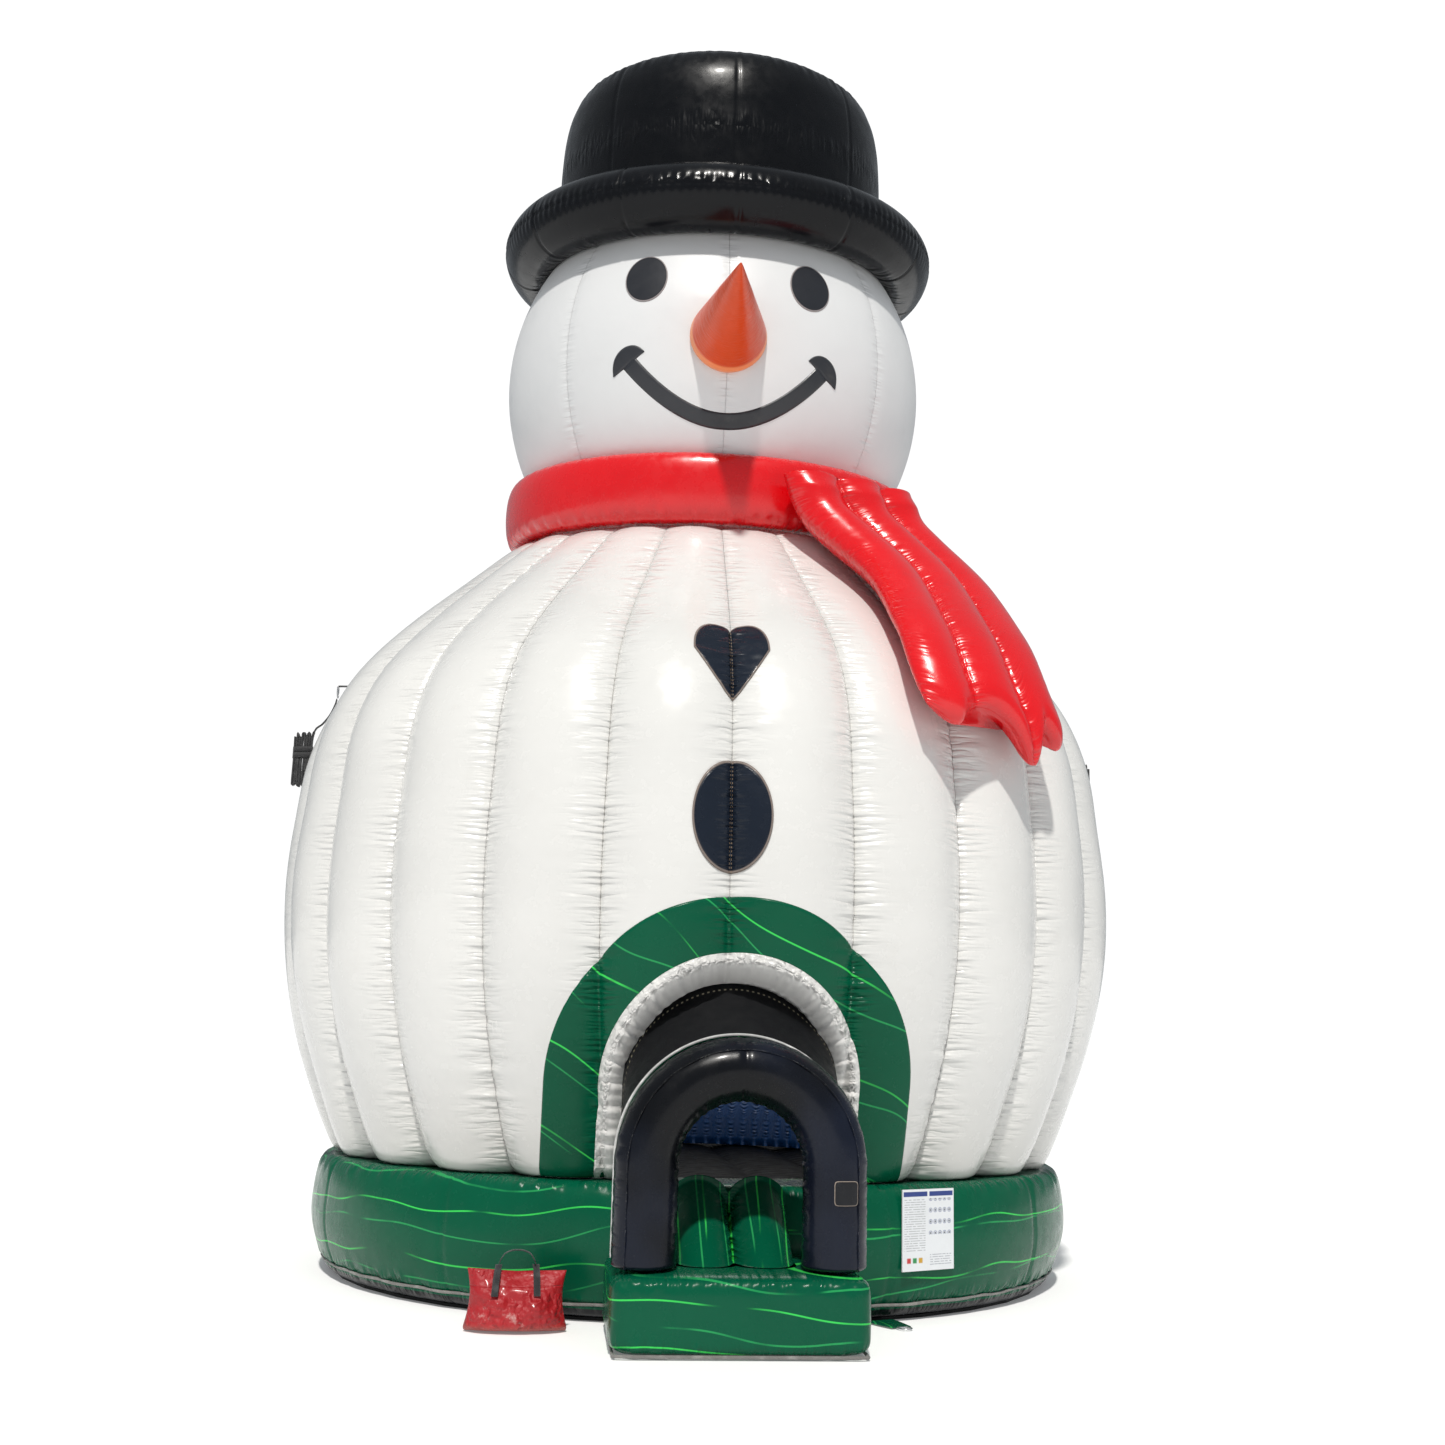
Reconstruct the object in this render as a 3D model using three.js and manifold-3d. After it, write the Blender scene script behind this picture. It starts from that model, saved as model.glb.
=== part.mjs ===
// A giant walk-in inflatable snowman: a round bouncing room inside the body, a walk-through
// doorway with an entry arch and step, and a head, scarf and hat that are kept up by air.
// Millimetres, +Z up. The doorway faces -Y. The origin is on the ground under the body's axis.
// Air chambers are thin walled shells, open where the air passes from one chamber to the next.

import * as THREE from 'three';
import { mergeVertices } from 'three/addons/utils/BufferGeometryUtils.js';
import Module from 'manifold-3d';

const wasm = await Module();
wasm.setup();

// Driving dimensions

const gap = 0.5;
const skin = 22;
const sheetThickness = 18;

const baseTop = 790;
const baseInner = 2150;
const baseProfile = [[2540, 20], [2620, 120], [2700, 400], [2655, baseTop]];
const floorTop = 795;
const floorCells = 9;

const bodyProfile = [
  [2583, 800], [2724, 1120], [2907, 1620], [3014, 2120], [3043, 2620], [3006, 3120],
  [2934, 3620], [2717, 4120], [2306, 4620], [1742, 5120], [1500, 5300],
];
const panelCount = 12;
const goresPerPanel = 2;
const goreBulge = 0.026;
const wallDepth = 520;
const wallDepthTop = 330;
const innerBulge = 45;
const seamSlack = 0.003;
const wallLevels = 6;

const leanAngle = THREE.MathUtils.degToRad(6);
const leanPivot = 4400;
const leanStart = 3600;
const leanEnd = 5200;

const headRadius = 1610;
const headCentre = 6590;
const neckRadius = 1235;
const scarfRadius = 1575;
const scarfBottom = 5325;
const scarfTop = 5820;
const brimRadius = 1462;
const brimTube = 223;
const brimCentre = 7700;
const crownRadius = 1270;
const crownBottom = 7818;
const crownTop = 9100;

const doorCentre = 1350;
const doorHalf = 600;
const revealHalf = 740;
const surroundHalf = 1100;

const stepHalf = 702;
const stepFront = -3580;
const stepTop = 417;
const archTube = 175;
const archHalf = 515;
const archSpring = 955;
const archPlace = -3330;
const rampRadius = 172;

const ringWire = 10;
const tetherWidth = 50;
const tetherThickness = 8;
const tetherRingHeight = 4200;
const tetherRingReach = 2800;
const hankTop = 3840;
const hankBottom = 3390;
const hankHalf = 68;

const sleevePlace = 800;
const sleeveHeight = 330;
const sleeveRadius = 150;
const blowerFront = 3400;

const zipAngle = THREE.MathUtils.degToRad(205);

const white = '#e9e9ea';
const green = '#0b5a3c';
const black = '#111215';
const red = '#d80f1c';
const navy = '#1b222b';

// Solids and meshes

const object = new THREE.Group();

function closed(geometry) {
  const bare = geometry.clone();
  bare.deleteAttribute('normal');
  bare.deleteAttribute('uv');
  const merged = mergeVertices(bare, 0.01);
  const kept = [];
  const index = merged.index.array;
  for (let i = 0; i < index.length; i += 3) {
    const [a, b, c] = [index[i], index[i + 1], index[i + 2]];
    if (a !== b && b !== c && c !== a) {
      kept.push(a, b, c);
    }
  }
  merged.setIndex(kept);
  return outward(merged);
}

function outward(geometry) {
  const p = geometry.attributes.position;
  const index = Array.from(geometry.index.array);
  const corner = [new THREE.Vector3(), new THREE.Vector3(), new THREE.Vector3()];
  let volume = 0;
  for (let i = 0; i < index.length; i += 3) {
    corner.forEach((v, k) => v.fromBufferAttribute(p, index[i + k]));
    volume += corner[0].dot(corner[1].clone().cross(corner[2]));
  }
  if (volume < 0) {
    index.reverse();
  }
  geometry.setIndex(index);
  return geometry;
}

function solid(geometry) {
  const mesh = closed(geometry);
  return new wasm.Manifold(new wasm.Mesh({
    numProp: 3,
    vertProperties: new Float32Array(mesh.attributes.position.array),
    triVerts: new Uint32Array(mesh.index.array),
  }));
}

function surface(manifold) {
  const mesh = manifold.getMesh();
  const geometry = new THREE.BufferGeometry();
  geometry.setAttribute('position', new THREE.BufferAttribute(mesh.vertProperties, 3));
  geometry.setIndex(Array.from(mesh.triVerts));
  return geometry;
}

function add(name, geometry, color, roughness = 0.35, metalness = 0) {
  const material = new THREE.MeshStandardMaterial({ color, roughness, metalness });
  const mesh = new THREE.Mesh(closed(geometry), material);
  mesh.name = name;
  object.add(mesh);
  return mesh;
}

function moved(geometry, move) {
  const p = geometry.attributes.position;
  const v = new THREE.Vector3();
  for (let i = 0; i < p.count; i += 1) {
    v.fromBufferAttribute(p, i);
    const to = move(v);
    p.setXYZ(i, to.x, to.y, to.z);
  }
  return geometry;
}

// A box of unit size, cut into cells, whose points are placed by shape(u, v, w), each 0 to 1.
function shapedBox(across, up, deep, shape) {
  const box = closed(new THREE.BoxGeometry(1, 1, 1, across, up, deep));
  return outward(moved(box, (v) => shape(v.x + 0.5, v.y + 0.5, v.z + 0.5)));
}

// A profile turned about the Z axis. One that doesn't run from axis to axis closes on itself.
function lathe(profile, segments) {
  const points = profile.map(([r, z]) => new THREE.Vector2(r, z));
  if (points[0].x > 0.001) {
    points.push(points[0].clone());
  }
  return new THREE.LatheGeometry(points, segments).rotateX(Math.PI / 2);
}

// A flat outline in X and Z, carried along Y from one place to another.
function slab(outline, from, to) {
  const settings = { depth: to - from, bevelEnabled: false, curveSegments: 12 };
  return new THREE.ExtrudeGeometry(outline, settings).rotateX(Math.PI / 2).translate(0, to, 0);
}

function archOutline(half, centre, bottom) {
  const shape = new THREE.Shape();
  shape.moveTo(-half, bottom);
  shape.lineTo(half, bottom);
  shape.lineTo(half, centre);
  shape.absarc(0, centre, half, 0, Math.PI, false);
  shape.lineTo(-half, bottom);
  return shape;
}

function rectangle(width, height, x = 0, y = 0) {
  const shape = new THREE.Shape();
  shape.moveTo(x - width / 2, y - height / 2);
  shape.lineTo(x + width / 2, y - height / 2);
  shape.lineTo(x + width / 2, y + height / 2);
  shape.lineTo(x - width / 2, y + height / 2);
  shape.lineTo(x - width / 2, y - height / 2);
  return shape;
}

function arc(centreR, centreZ, radius, from, to, steps) {
  return Array.from({ length: steps + 1 }, (_, i) => {
    const a = THREE.MathUtils.degToRad(from + ((to - from) * i) / steps);
    return [centreR + radius * Math.cos(a), centreZ + radius * Math.sin(a)];
  });
}

// The upper body bends forward a little; the neck, head and hat lean with it.
function lean(v) {
  const share = THREE.MathUtils.smoothstep(v.z, leanStart, leanEnd);
  const a = leanAngle * share;
  const rise = v.z - leanPivot;
  return new THREE.Vector3(
    v.x,
    v.y * Math.cos(a) - rise * Math.sin(a),
    leanPivot + v.y * Math.sin(a) + rise * Math.cos(a),
  );
}

function leaned(geometry) {
  return moved(geometry, lean);
}

// A point at an angle from the front, a radius and a height.
function around(angle, radius, height) {
  return new THREE.Vector3(radius * Math.sin(angle), -radius * Math.cos(angle), height);
}

// The wall: a meridian swept round, swelling between the seams of its gores.

const meridian = new THREE.SplineCurve(bodyProfile.map(([r, z]) => new THREE.Vector2(r, z)));
const goreAngle = (2 * Math.PI) / (panelCount * goresPerPanel);

function outwardNormal(t) {
  const along = meridian.getTangentAt(t);
  return new THREE.Vector2(along.y, -along.x);
}

function wallPoint(angle, t, offset, depth = 0) {
  const at = meridian.getPointAt(t);
  const normal = outwardNormal(t);
  const level = new THREE.Vector2(1, 0);
  const side = level.lerp(normal, THREE.MathUtils.smoothstep(t, 0, 0.3)).normalize();
  const turn = angle / goreAngle;
  const across = 2 * (turn - Math.floor(turn)) - 1;
  const swell = at.x * goreBulge * across * across * (1 - depth);
  const inner = innerBulge * (1 - across * across) * depth;
  const thick = THREE.MathUtils.lerp(wallDepth, wallDepthTop, t) * depth;
  const r = at.x + side.x * (offset - thick) - swell - inner;
  const z = at.y + side.y * (offset - thick);
  return around(angle, r, z);
}

function wallPanel(from, to) {
  const cells = goresPerPanel * 4;
  const chamber = solid(shapedBox(cells, wallLevels, 1, (u, v, w) => {
    const angle = THREE.MathUtils.lerp(from, to, u);
    return lean(wallPoint(angle, v, 0, 1 - w));
  }));
  const rim = (skin * 1.1) / bodyProfile[bodyProfile.length - 1][0];
  const air = solid(shapedBox(goresPerPanel * 2, wallLevels, 1, (u, v, w) => {
    const angle = THREE.MathUtils.lerp(from + rim, to - rim, u);
    const t = v === 0 ? 0 : v * 0.985;
    const inside = wallPoint(angle, t, w > 0.5 ? -skin * 1.6 : skin * 1.2, 1 - w);
    if (v === 0) {
      inside.z -= 60;
    }
    return lean(inside);
  }));
  return chamber.subtract(air);
}

function wallPiece(index) {
  const width = goreAngle * goresPerPanel;
  const slack = seamSlack;
  return wallPanel(width * (index - 0.5) + slack, width * (index + 0.5) - slack);
}

const doorCut = solid(slab(archOutline(revealHalf + gap, doorCentre, 600), -3400, -1500));
const windowHalf = 430;
const windowCentre = 1500;
const windowCut = solid(slab(archOutline(windowHalf + gap, windowCentre, 1000), 1500, 3400));
const doorPanels = [0, 1, panelCount - 1];
const windowPanel = panelCount / 2;

for (let i = 0; i < panelCount; i += 1) {
  let piece = wallPiece(i);
  if (doorPanels.includes(i)) {
    piece = piece.subtract(doorCut);
  }
  if (i === windowPanel) {
    piece = piece.subtract(windowCut);
  }
  add(`wall_panel_${String(i + 1).padStart(2, '0')}`, surface(piece), white, 0.32);
}

// Base: the ground sheet, the green base wall and the bounce floor with its open cells

const groundDisc = [[0, 0], [2530, 0], [2530, sheetThickness], [0, sheetThickness]];
add('ground_sheet', lathe(groundDisc, 36), black, 0.6);

const baseInside = [[2175, 20], [2175, 765], [2630, 765], [2670, 400], [2598, 128], [2518, 20]];
const baseOutline = [...baseProfile, [baseInner, baseTop], [baseInner, 20], ...baseInside];
add('base_wall', lathe(baseOutline.reverse(), 36), green, 0.35);

const floorWidth = 2 * (baseInner - gap);
const cellPitch = floorWidth / floorCells;
const floorDisc = [[0, 20], [baseInner - gap, 20], [baseInner - gap, floorTop], [0, floorTop]];
let bounceFloor = solid(lathe(floorDisc, 36));
for (let i = 0; i < floorCells; i += 1) {
  const place = (i - (floorCells - 1) / 2) * cellPitch;
  const cell = new THREE.BoxGeometry(cellPitch - skin, 2 * floorWidth, floorTop - 20 - 2 * skin);
  bounceFloor = bounceFloor.subtract(solid(cell.translate(place, 0, (floorTop + 20) / 2)));
}
add('bounce_floor', surface(bounceFloor), black, 0.5);

// Neck: the ceiling of the room, with a collar round it that the head stands on

const collar = [
  [0, 5262], [neckRadius - 3, 5262], [neckRadius - 3, 5536], [1000, 5310], [1000, 5288], [0, 5288],
];
add('neck_collar', leaned(lathe(collar, 32)), white, 0.4);

// Head: an open-bottomed ball

const neckHalf = THREE.MathUtils.radToDeg(Math.acos(1060 / headRadius));
const headOutline = [
  ...arc(0, headCentre, headRadius - skin, 90, -neckHalf, 9),
  ...arc(0, headCentre, headRadius, -neckHalf, 90, 9),
];
add('head', leaned(lathe(headOutline, 32)), white, 0.4);

// Scarf ring: a C-shaped band round the neck, open towards the head
const scarfOutline = [
  [1432, scarfTop - 5], [1530, scarfTop], [scarfRadius, 5710], [scarfRadius, 5440],
  [1530, scarfBottom], [1262, scarfBottom], [1262, scarfBottom + skin], [1516, scarfBottom + skin],
  [scarfRadius - skin, 5446], [scarfRadius - skin, 5704], [1516, scarfTop - skin],
  [1432, scarfTop - skin - 5],
];
add('scarf_ring', leaned(lathe(scarfOutline, 28)), red, 0.25);

// Scarf tail: three lobes side by side that hang from the ring over the shoulder and end in fingers

const tailLine = new THREE.SplineCurve([
  [1742, 5640], [1810, 5400], [2000, 5190], [2462, 4767], [2900, 4232], [3141, 3678], [3190, 3360],
].map(([r, z]) => new THREE.Vector2(r, z)));
const tailTurn = new THREE.SplineCurve([
  [0, 31.5], [0.3, 36.5], [0.6, 32.5], [0.8, 30.8], [1, 32.4],
].map(([t, degrees]) => new THREE.Vector2(t, THREE.MathUtils.degToRad(degrees))));
const tailHalf = 590;
const tailEnds = [0.88, 0.905, 0.9, 0.96, 1, 0.93, 0.89];

function tailPoint(u, v, w) {
  const lobe = Math.abs(Math.sin(3 * Math.PI * u));
  const end = tailEnds[Math.round(u * (tailEnds.length - 1))];
  const t = v * end;
  const at = tailLine.getPointAt(t);
  const along = tailLine.getTangentAt(t);
  const normal = new THREE.Vector2(-along.y, along.x);
  const half = (65 + 80 * lobe) * (1 - 0.35 * v * v);
  const away = at.clone().addScaledVector(normal, (w * 2 - 1) * half);
  const angle = tailTurn.getPoint(t).y + ((u * 2 - 1) * tailHalf) / at.x;
  return lean(around(angle, away.x, away.y));
}
add('scarf_tail', shapedBox(6, 9, 1, tailPoint), red, 0.25);

// Hat: a ring brim and an open-bottomed crown

add('hat_brim', leaned(lathe(arc(brimRadius, brimCentre, brimTube, 0, 324, 9), 30)), black, 0.2);

const crownOutline = [
  [0, crownTop - skin], [800, crownTop - 50 - skin], [1060, 8960 - skin], [1225, 8750],
  [crownRadius - skin, 8500], [crownRadius - skin, crownBottom], [crownRadius, crownBottom],
  [crownRadius, 8520], [1247, 8765], [1075, 8965], [805, crownTop - 50], [0, crownTop],
];
add('hat_crown', leaned(lathe(crownOutline.reverse(), 30)), black, 0.2);

// Face: patches sewn on the head, and a cone nose

function headPoint(angle, rise, offset) {
  const r = headRadius + offset;
  return lean(around(angle, r * Math.cos(rise), headCentre + r * Math.sin(rise)));
}

function patchOnHead(outlineAt, across, up) {
  return shapedBox(across, up, 1, (u, v, w) => {
    const [angle, rise] = outlineAt(u, v);
    return headPoint(angle, rise, 2 + 7 * w);
  });
}

// A round patch: a square of cells whose corners are drawn in to a circle.
function roundCell(u, v) {
  const x = u * 2 - 1;
  const y = v * 2 - 1;
  return [x * Math.sqrt(1 - (y * y) / 2), y * Math.sqrt(1 - (x * x) / 2)];
}

const eyeTurn = THREE.MathUtils.degToRad(22.4);
const eyeRise = THREE.MathUtils.degToRad(17.4);
const eyeHalfWidth = 158;
const eyeHalfHeight = 196;
for (const [name, side] of [['eye_left', -1], ['eye_right', 1]]) {
  add(name, patchOnHead((u, v) => {
    const [x, y] = roundCell(u, v);
    const turn = side * eyeTurn + (x * eyeHalfWidth) / (headRadius * Math.cos(eyeRise));
    return [turn, eyeRise + (y * eyeHalfHeight) / headRadius];
  }, 6, 6), navy, 0.5);
}

const smileTurn = THREE.MathUtils.degToRad(25.2);
const smileTop = THREE.MathUtils.degToRad(-5);
const smileDrop = THREE.MathUtils.degToRad(14.9);
const smileStroke = 120;
add('mouth', patchOnHead((u, v) => {
  const s = u * 2 - 1;
  const slope = (2 * smileDrop * s) / smileTurn;
  const off = ((v - 0.5) * smileStroke) / headRadius / Math.hypot(1, slope);
  return [s * smileTurn - off * slope, smileTop - smileDrop * (1 - s * s) + off];
}, 14, 1), navy, 0.5);

const noseRise = THREE.MathUtils.degToRad(9.3);
const noseLength = 1000;
const noseRadius = 267;
const noseOutline = [
  [0, 0], [noseRadius, 0], [noseRadius * 0.82, noseLength * 0.25], [noseRadius * 0.5, noseLength * 0.56],
  [0, noseLength],
];
const nose = lathe(noseOutline, 20)
  .rotateX(Math.PI / 2 - noseRise)
  .translate(0, -headRadius + 20, headCentre + 30);
const headBall = solid(lathe(arc(0, headCentre, headRadius + 12, -90, 90, 14), 32));
add('nose', leaned(surface(solid(nose).subtract(headBall))), '#d9541a', 0.3);

// Button patches on the front seam: a heart and an oval

function patchOnWall(outlineAt, across, up) {
  return shapedBox(across, up, 1, (u, v, w) => {
    const [x, z] = outlineAt(u, v);
    const t = heightShare(z);
    return lean(wallPoint(x / meridian.getPointAt(t).x, t, 6 + 9 * w));
  });
}

function heightShare(z) {
  let low = 0;
  let high = 1;
  for (let i = 0; i < 30; i += 1) {
    const middle = (low + high) / 2;
    if (meridian.getPointAt(middle).y < z) {
      low = middle;
    } else {
      high = middle;
    }
  }
  return low;
}

add('button_oval', patchOnWall((u, v) => {
  const [x, y] = roundCell(u, v);
  return [x * 243, 2920 + y * 345];
}, 8, 6), navy, 0.3);

add('button_heart', patchOnWall((u, v) => {
  const x = u * 2 - 1;
  const top = 120 + 120 * Math.sqrt(Math.max(0, 1 - (2 * Math.abs(x) - 1) ** 2));
  const bottom = -275 + 395 * Math.abs(x) ** 1.5;
  return [x * 240, 3915 + THREE.MathUtils.lerp(bottom, Math.max(top, bottom + 4), v)];
}, 12, 2), navy, 0.3);

// Doorway: the green surround on the wall, the white reveal through it, the hood and the arch

const surroundRing = solid(slab(archOutline(surroundHalf, doorCentre, 700), -3400, -2000))
  .subtract(solid(slab(archOutline(revealHalf, doorCentre, 600), -3500, -1900)));
const surroundShell = solid(shapedBox(4 * 4, 5, 1, (u, v, w) => {
  const angle = THREE.MathUtils.lerp(-2 * goreAngle, 2 * goreAngle, u);
  return lean(wallPoint(angle, v * heightShare(2620), 24 + 9 * w));
}));
add('door_surround', surface(surroundShell.intersect(surroundRing)), green, 0.3);

const revealRing = solid(slab(archOutline(revealHalf - gap, doorCentre, baseTop + gap), -3400, -1700))
  .subtract(solid(slab(archOutline(doorHalf, doorCentre, 600), -3500, -1600)));
const revealOuter = solid(lathe([[0, 700], ...bodyProfile.slice(0, 5), [0, 2620]], 96));
const roomOutline = [[0, 600], [2155, 600], [2155, 798], [2330, 1620], [2400, 2700], [0, 2700]];
const revealInner = solid(lathe(roomOutline, 48));
add('door_reveal', surface(revealRing.intersect(revealOuter).subtract(revealInner)), white, 0.4);

const archWay = new THREE.CurvePath();
archWay.add(new THREE.LineCurve3(
  new THREE.Vector3(-archHalf, archPlace, stepTop + gap),
  new THREE.Vector3(-archHalf, archPlace, archSpring),
));
class ArchTop extends THREE.Curve {
  getPoint(t, target = new THREE.Vector3()) {
    const a = Math.PI * (1 - t);
    return target.set(archHalf * Math.cos(a), archPlace, archSpring + archHalf * Math.sin(a));
  }
}
archWay.add(new ArchTop());
archWay.add(new THREE.LineCurve3(
  new THREE.Vector3(archHalf, archPlace, archSpring),
  new THREE.Vector3(archHalf, archPlace, stepTop + gap),
));
const archSection = new THREE.Shape();
archSection.absarc(0, 0, archTube, 0, 2 * Math.PI, false);
const archSettings = { steps: 18, curveSegments: 6, bevelEnabled: false, extrudePath: archWay };
add('entry_arch', new THREE.ExtrudeGeometry(archSection, archSettings), black, 0.2);

const hoodFront = archPlace + archTube + 12;
const hoodBack = -2700;
add('entry_hood', shapedBox(16, 2, 1, (u, v, w) => {
  const legs = 0.24;
  const half = THREE.MathUtils.lerp(655, doorHalf - 40, v) + 24 * w;
  const centre = THREE.MathUtils.lerp(970, doorCentre - 12, v);
  const y = THREE.MathUtils.lerp(hoodFront, hoodBack, v);
  const low = THREE.MathUtils.lerp(stepTop + 30, floorTop + 10, v);
  if (u < legs || u > 1 - legs) {
    const side = u < legs ? -1 : 1;
    const share = (u < legs ? u : 1 - u) / legs;
    return new THREE.Vector3(side * half, y, THREE.MathUtils.lerp(low, centre, share));
  }
  const a = Math.PI * (1 - (u - legs) / (1 - 2 * legs));
  return new THREE.Vector3(half * Math.cos(a), y, centre + half * Math.sin(a));
}), black, 0.25);

// Front step, and the ramp of two tubes that climbs from it to the floor

const baseClear = baseProfile.map(([r, z]) => [r + gap, z]);
const baseOuterSolid = solid(lathe([[0, -50], [2541, -50], ...baseClear, [2655, 1000], [0, 1000]], 36));
const stepOutline = rectangle(2 * stepHalf, stepTop - 2, 0, (stepTop + 2) / 2);
const step = solid(slab(stepOutline, stepFront, -2300)).subtract(baseOuterSolid);
add('front_step', surface(step), green, 0.3);

const rampClimb = THREE.MathUtils.degToRad(36);
function rampTube(side) {
  const tube = new THREE.CylinderGeometry(rampRadius, rampRadius, 840, 14).rotateX(rampClimb);
  return solid(tube.translate(side * (rampRadius - 12), -2901, 470));
}
const aboveStep = solid(slab(rectangle(2000, 1400, 0, stepTop + gap + 700), -3560, -2400));
const ramp = rampTube(-1).add(rampTube(1)).intersect(aboveStep).subtract(baseOuterSolid);
add('entry_ramp', surface(ramp), green, 0.3);

// Inside: a ribbed roll on the floor. Behind: a mesh window.

add('inner_roll', shapedBox(12, 3, 3, (u, v, w) => {
  const angle = THREE.MathUtils.lerp(-0.9, 0.9, u);
  const r = 1350 + 300 * (v - 0.5);
  const height = floorTop + 5 + 420 * w * (1 - 0.6 * (2 * v - 1) ** 2);
  return new THREE.Vector3(r * Math.sin(angle), r * Math.cos(angle) - 350, height);
}), '#1d4f8f', 0.4);

add('rear_window', slab(archOutline(windowHalf - gap, windowCentre, 1000 + gap), 2620, 2632), black, 0.7);

// Rules board on the base wall

const boardTurn = THREE.MathUtils.degToRad(27.4);
const board = new THREE.BoxGeometry(400, 8, 470).translate(0, -2705, 535).rotateZ(boardTurn);
add('rules_board', board, '#dfe3ea', 0.4);

// Ballast bag, its handle, and an anchor tab with its ring

const bagPlace = new THREE.Vector3(-1190, -2750, 0);
add('ballast_bag', shapedBox(4, 3, 3, (u, v, w) => {
  const crown = Math.sin(Math.PI * u) * 0.5 + 0.5;
  const half = 70 + 60 * Math.sin(Math.PI * Math.min(1, w * 0.8 + 0.1)) * crown;
  const x = (u - 0.5) * (600 - 40 * w);
  return new THREE.Vector3(bagPlace.x + x, bagPlace.y + (v * 2 - 1) * half, 2 + 345 * w - 25 * w * crown);
}), red, 0.5);

function bandLoop(width, reach, height, thick) {
  const shape = new THREE.Shape();
  shape.moveTo(-reach, 0);
  shape.lineTo(-reach + 25, height - 25);
  shape.lineTo(-reach + 60, height);
  shape.lineTo(reach - 60, height);
  shape.lineTo(reach - 25, height - 25);
  shape.lineTo(reach, 0);
  shape.lineTo(reach - thick, 0);
  shape.lineTo(reach - 25 - thick, height - 25 - thick / 2);
  shape.lineTo(reach - 60 - thick / 2, height - thick);
  shape.lineTo(-reach + 60 + thick / 2, height - thick);
  shape.lineTo(-reach + 25 + thick, height - 25 - thick / 2);
  shape.lineTo(-reach + thick, 0);
  shape.lineTo(-reach, 0);
  return slab(shape, -width / 2, width / 2);
}
add('bag_handle', bandLoop(40, 110, 85, 7).translate(bagPlace.x, bagPlace.y, 356), black, 0.8);

const tabTurn = THREE.MathUtils.degToRad(22);
const tab = rectangle(200, 10, 0, 6.5);
add('anchor_tab', slab(tab, -2790, -2560).rotateZ(tabTurn), green, 0.5);

function dRing(half, depth) {
  const shape = new THREE.Shape();
  shape.moveTo(-half, 0);
  shape.lineTo(half, 0);
  shape.lineTo(half, -depth + half);
  shape.absarc(0, -depth + half, half, 0, -Math.PI, true);
  shape.lineTo(-half, 0);
  const hole = new THREE.Path();
  const inner = half - ringWire;
  hole.moveTo(-inner, -ringWire);
  hole.lineTo(-inner, -depth + half);
  hole.absarc(0, -depth + half, inner, -Math.PI, 0, false);
  hole.lineTo(inner, -ringWire);
  hole.lineTo(-inner, -ringWire);
  shape.holes.push(hole);
  const settings = { depth: ringWire, bevelEnabled: false, curveSegments: 8 };
  return new THREE.ExtrudeGeometry(shape, settings);
}
const anchorRing = dRing(42, 80).translate(0, -2793, 1.5).rotateZ(tabTurn);
add('anchor_ring', anchorRing, '#9a9ea3', 0.3, 0.9);

// Upper tethers: a D-ring on each side of the body, with webbing that hangs to a tied hank

const strapLine = [
  [tetherRingReach + 5, 4107], [tetherRingReach + 18, 4050], [tetherRingReach + 60, 3960],
  [tetherRingReach + 118, 3890], [tetherRingReach + 160, hankTop + gap],
];
for (const [side, sign] of [['left', -1], ['right', 1]]) {
  const ring = dRing(40, 90).rotateX(Math.PI / 2).rotateZ(Math.PI / 2);
  ring.translate(sign * tetherRingReach - ringWire / 2, 0, tetherRingHeight);
  add(`tether_ring_${side}`, ring, '#9a9ea3', 0.3, 0.9);
  const fold = new THREE.BoxGeometry(136, tetherWidth, 6);
  fold.translate(sign * (tetherRingReach - 70), 0, tetherRingHeight + 4);
  add(`tether_tab_${side}`, fold, black, 0.8);

  const line = new THREE.CatmullRomCurve3(strapLine.map(([r, z]) => new THREE.Vector3(sign * r, 0, z)));
  const section = new THREE.Shape();
  const halfW = tetherWidth / 2;
  const halfT = tetherThickness / 2;
  const corners = [[halfW, 2], [halfW - 2, halfT], [-halfW + 2, halfT], [-halfW, 2], [-halfW, -2],
    [-halfW + 2, -halfT], [halfW - 2, -halfT], [halfW, -2]];
  corners.forEach(([x, y], i) => (i === 0 ? section.moveTo(x, y) : section.lineTo(x, y)));
  const settings = { steps: 8, bevelEnabled: false, extrudePath: line };
  add(`tether_strap_${side}`, new THREE.ExtrudeGeometry(section, settings), black, 0.8);

  const hank = new THREE.Shape();
  const half = 76;
  hank.absarc(0, hankTop - half, half, 0, Math.PI, false);
  hank.absarc(0, hankBottom + half, half, Math.PI, 2 * Math.PI, false);
  const bundle = slab(hank, -hankHalf, hankHalf);
  add(`tether_hank_${side}`, bundle.translate(sign * (tetherRingReach + 230), 0, 0), black, 0.8);
}

// Air supply at the back: the sleeve with its strap, and the blower on the ground

const sleeveInner = sleeveRadius - 8;
const sleeveTube = [[sleeveRadius, 0], [sleeveRadius, 1000], [sleeveInner, 1000], [sleeveInner, 0]];
const sleeve = lathe(sleeveTube, 24)
  .rotateX(-Math.PI / 2)
  .translate(sleevePlace, blowerFront - 1000 - gap, sleeveHeight);
add('air_sleeve', surface(solid(sleeve).subtract(baseOuterSolid)), black, 0.6);

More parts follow.
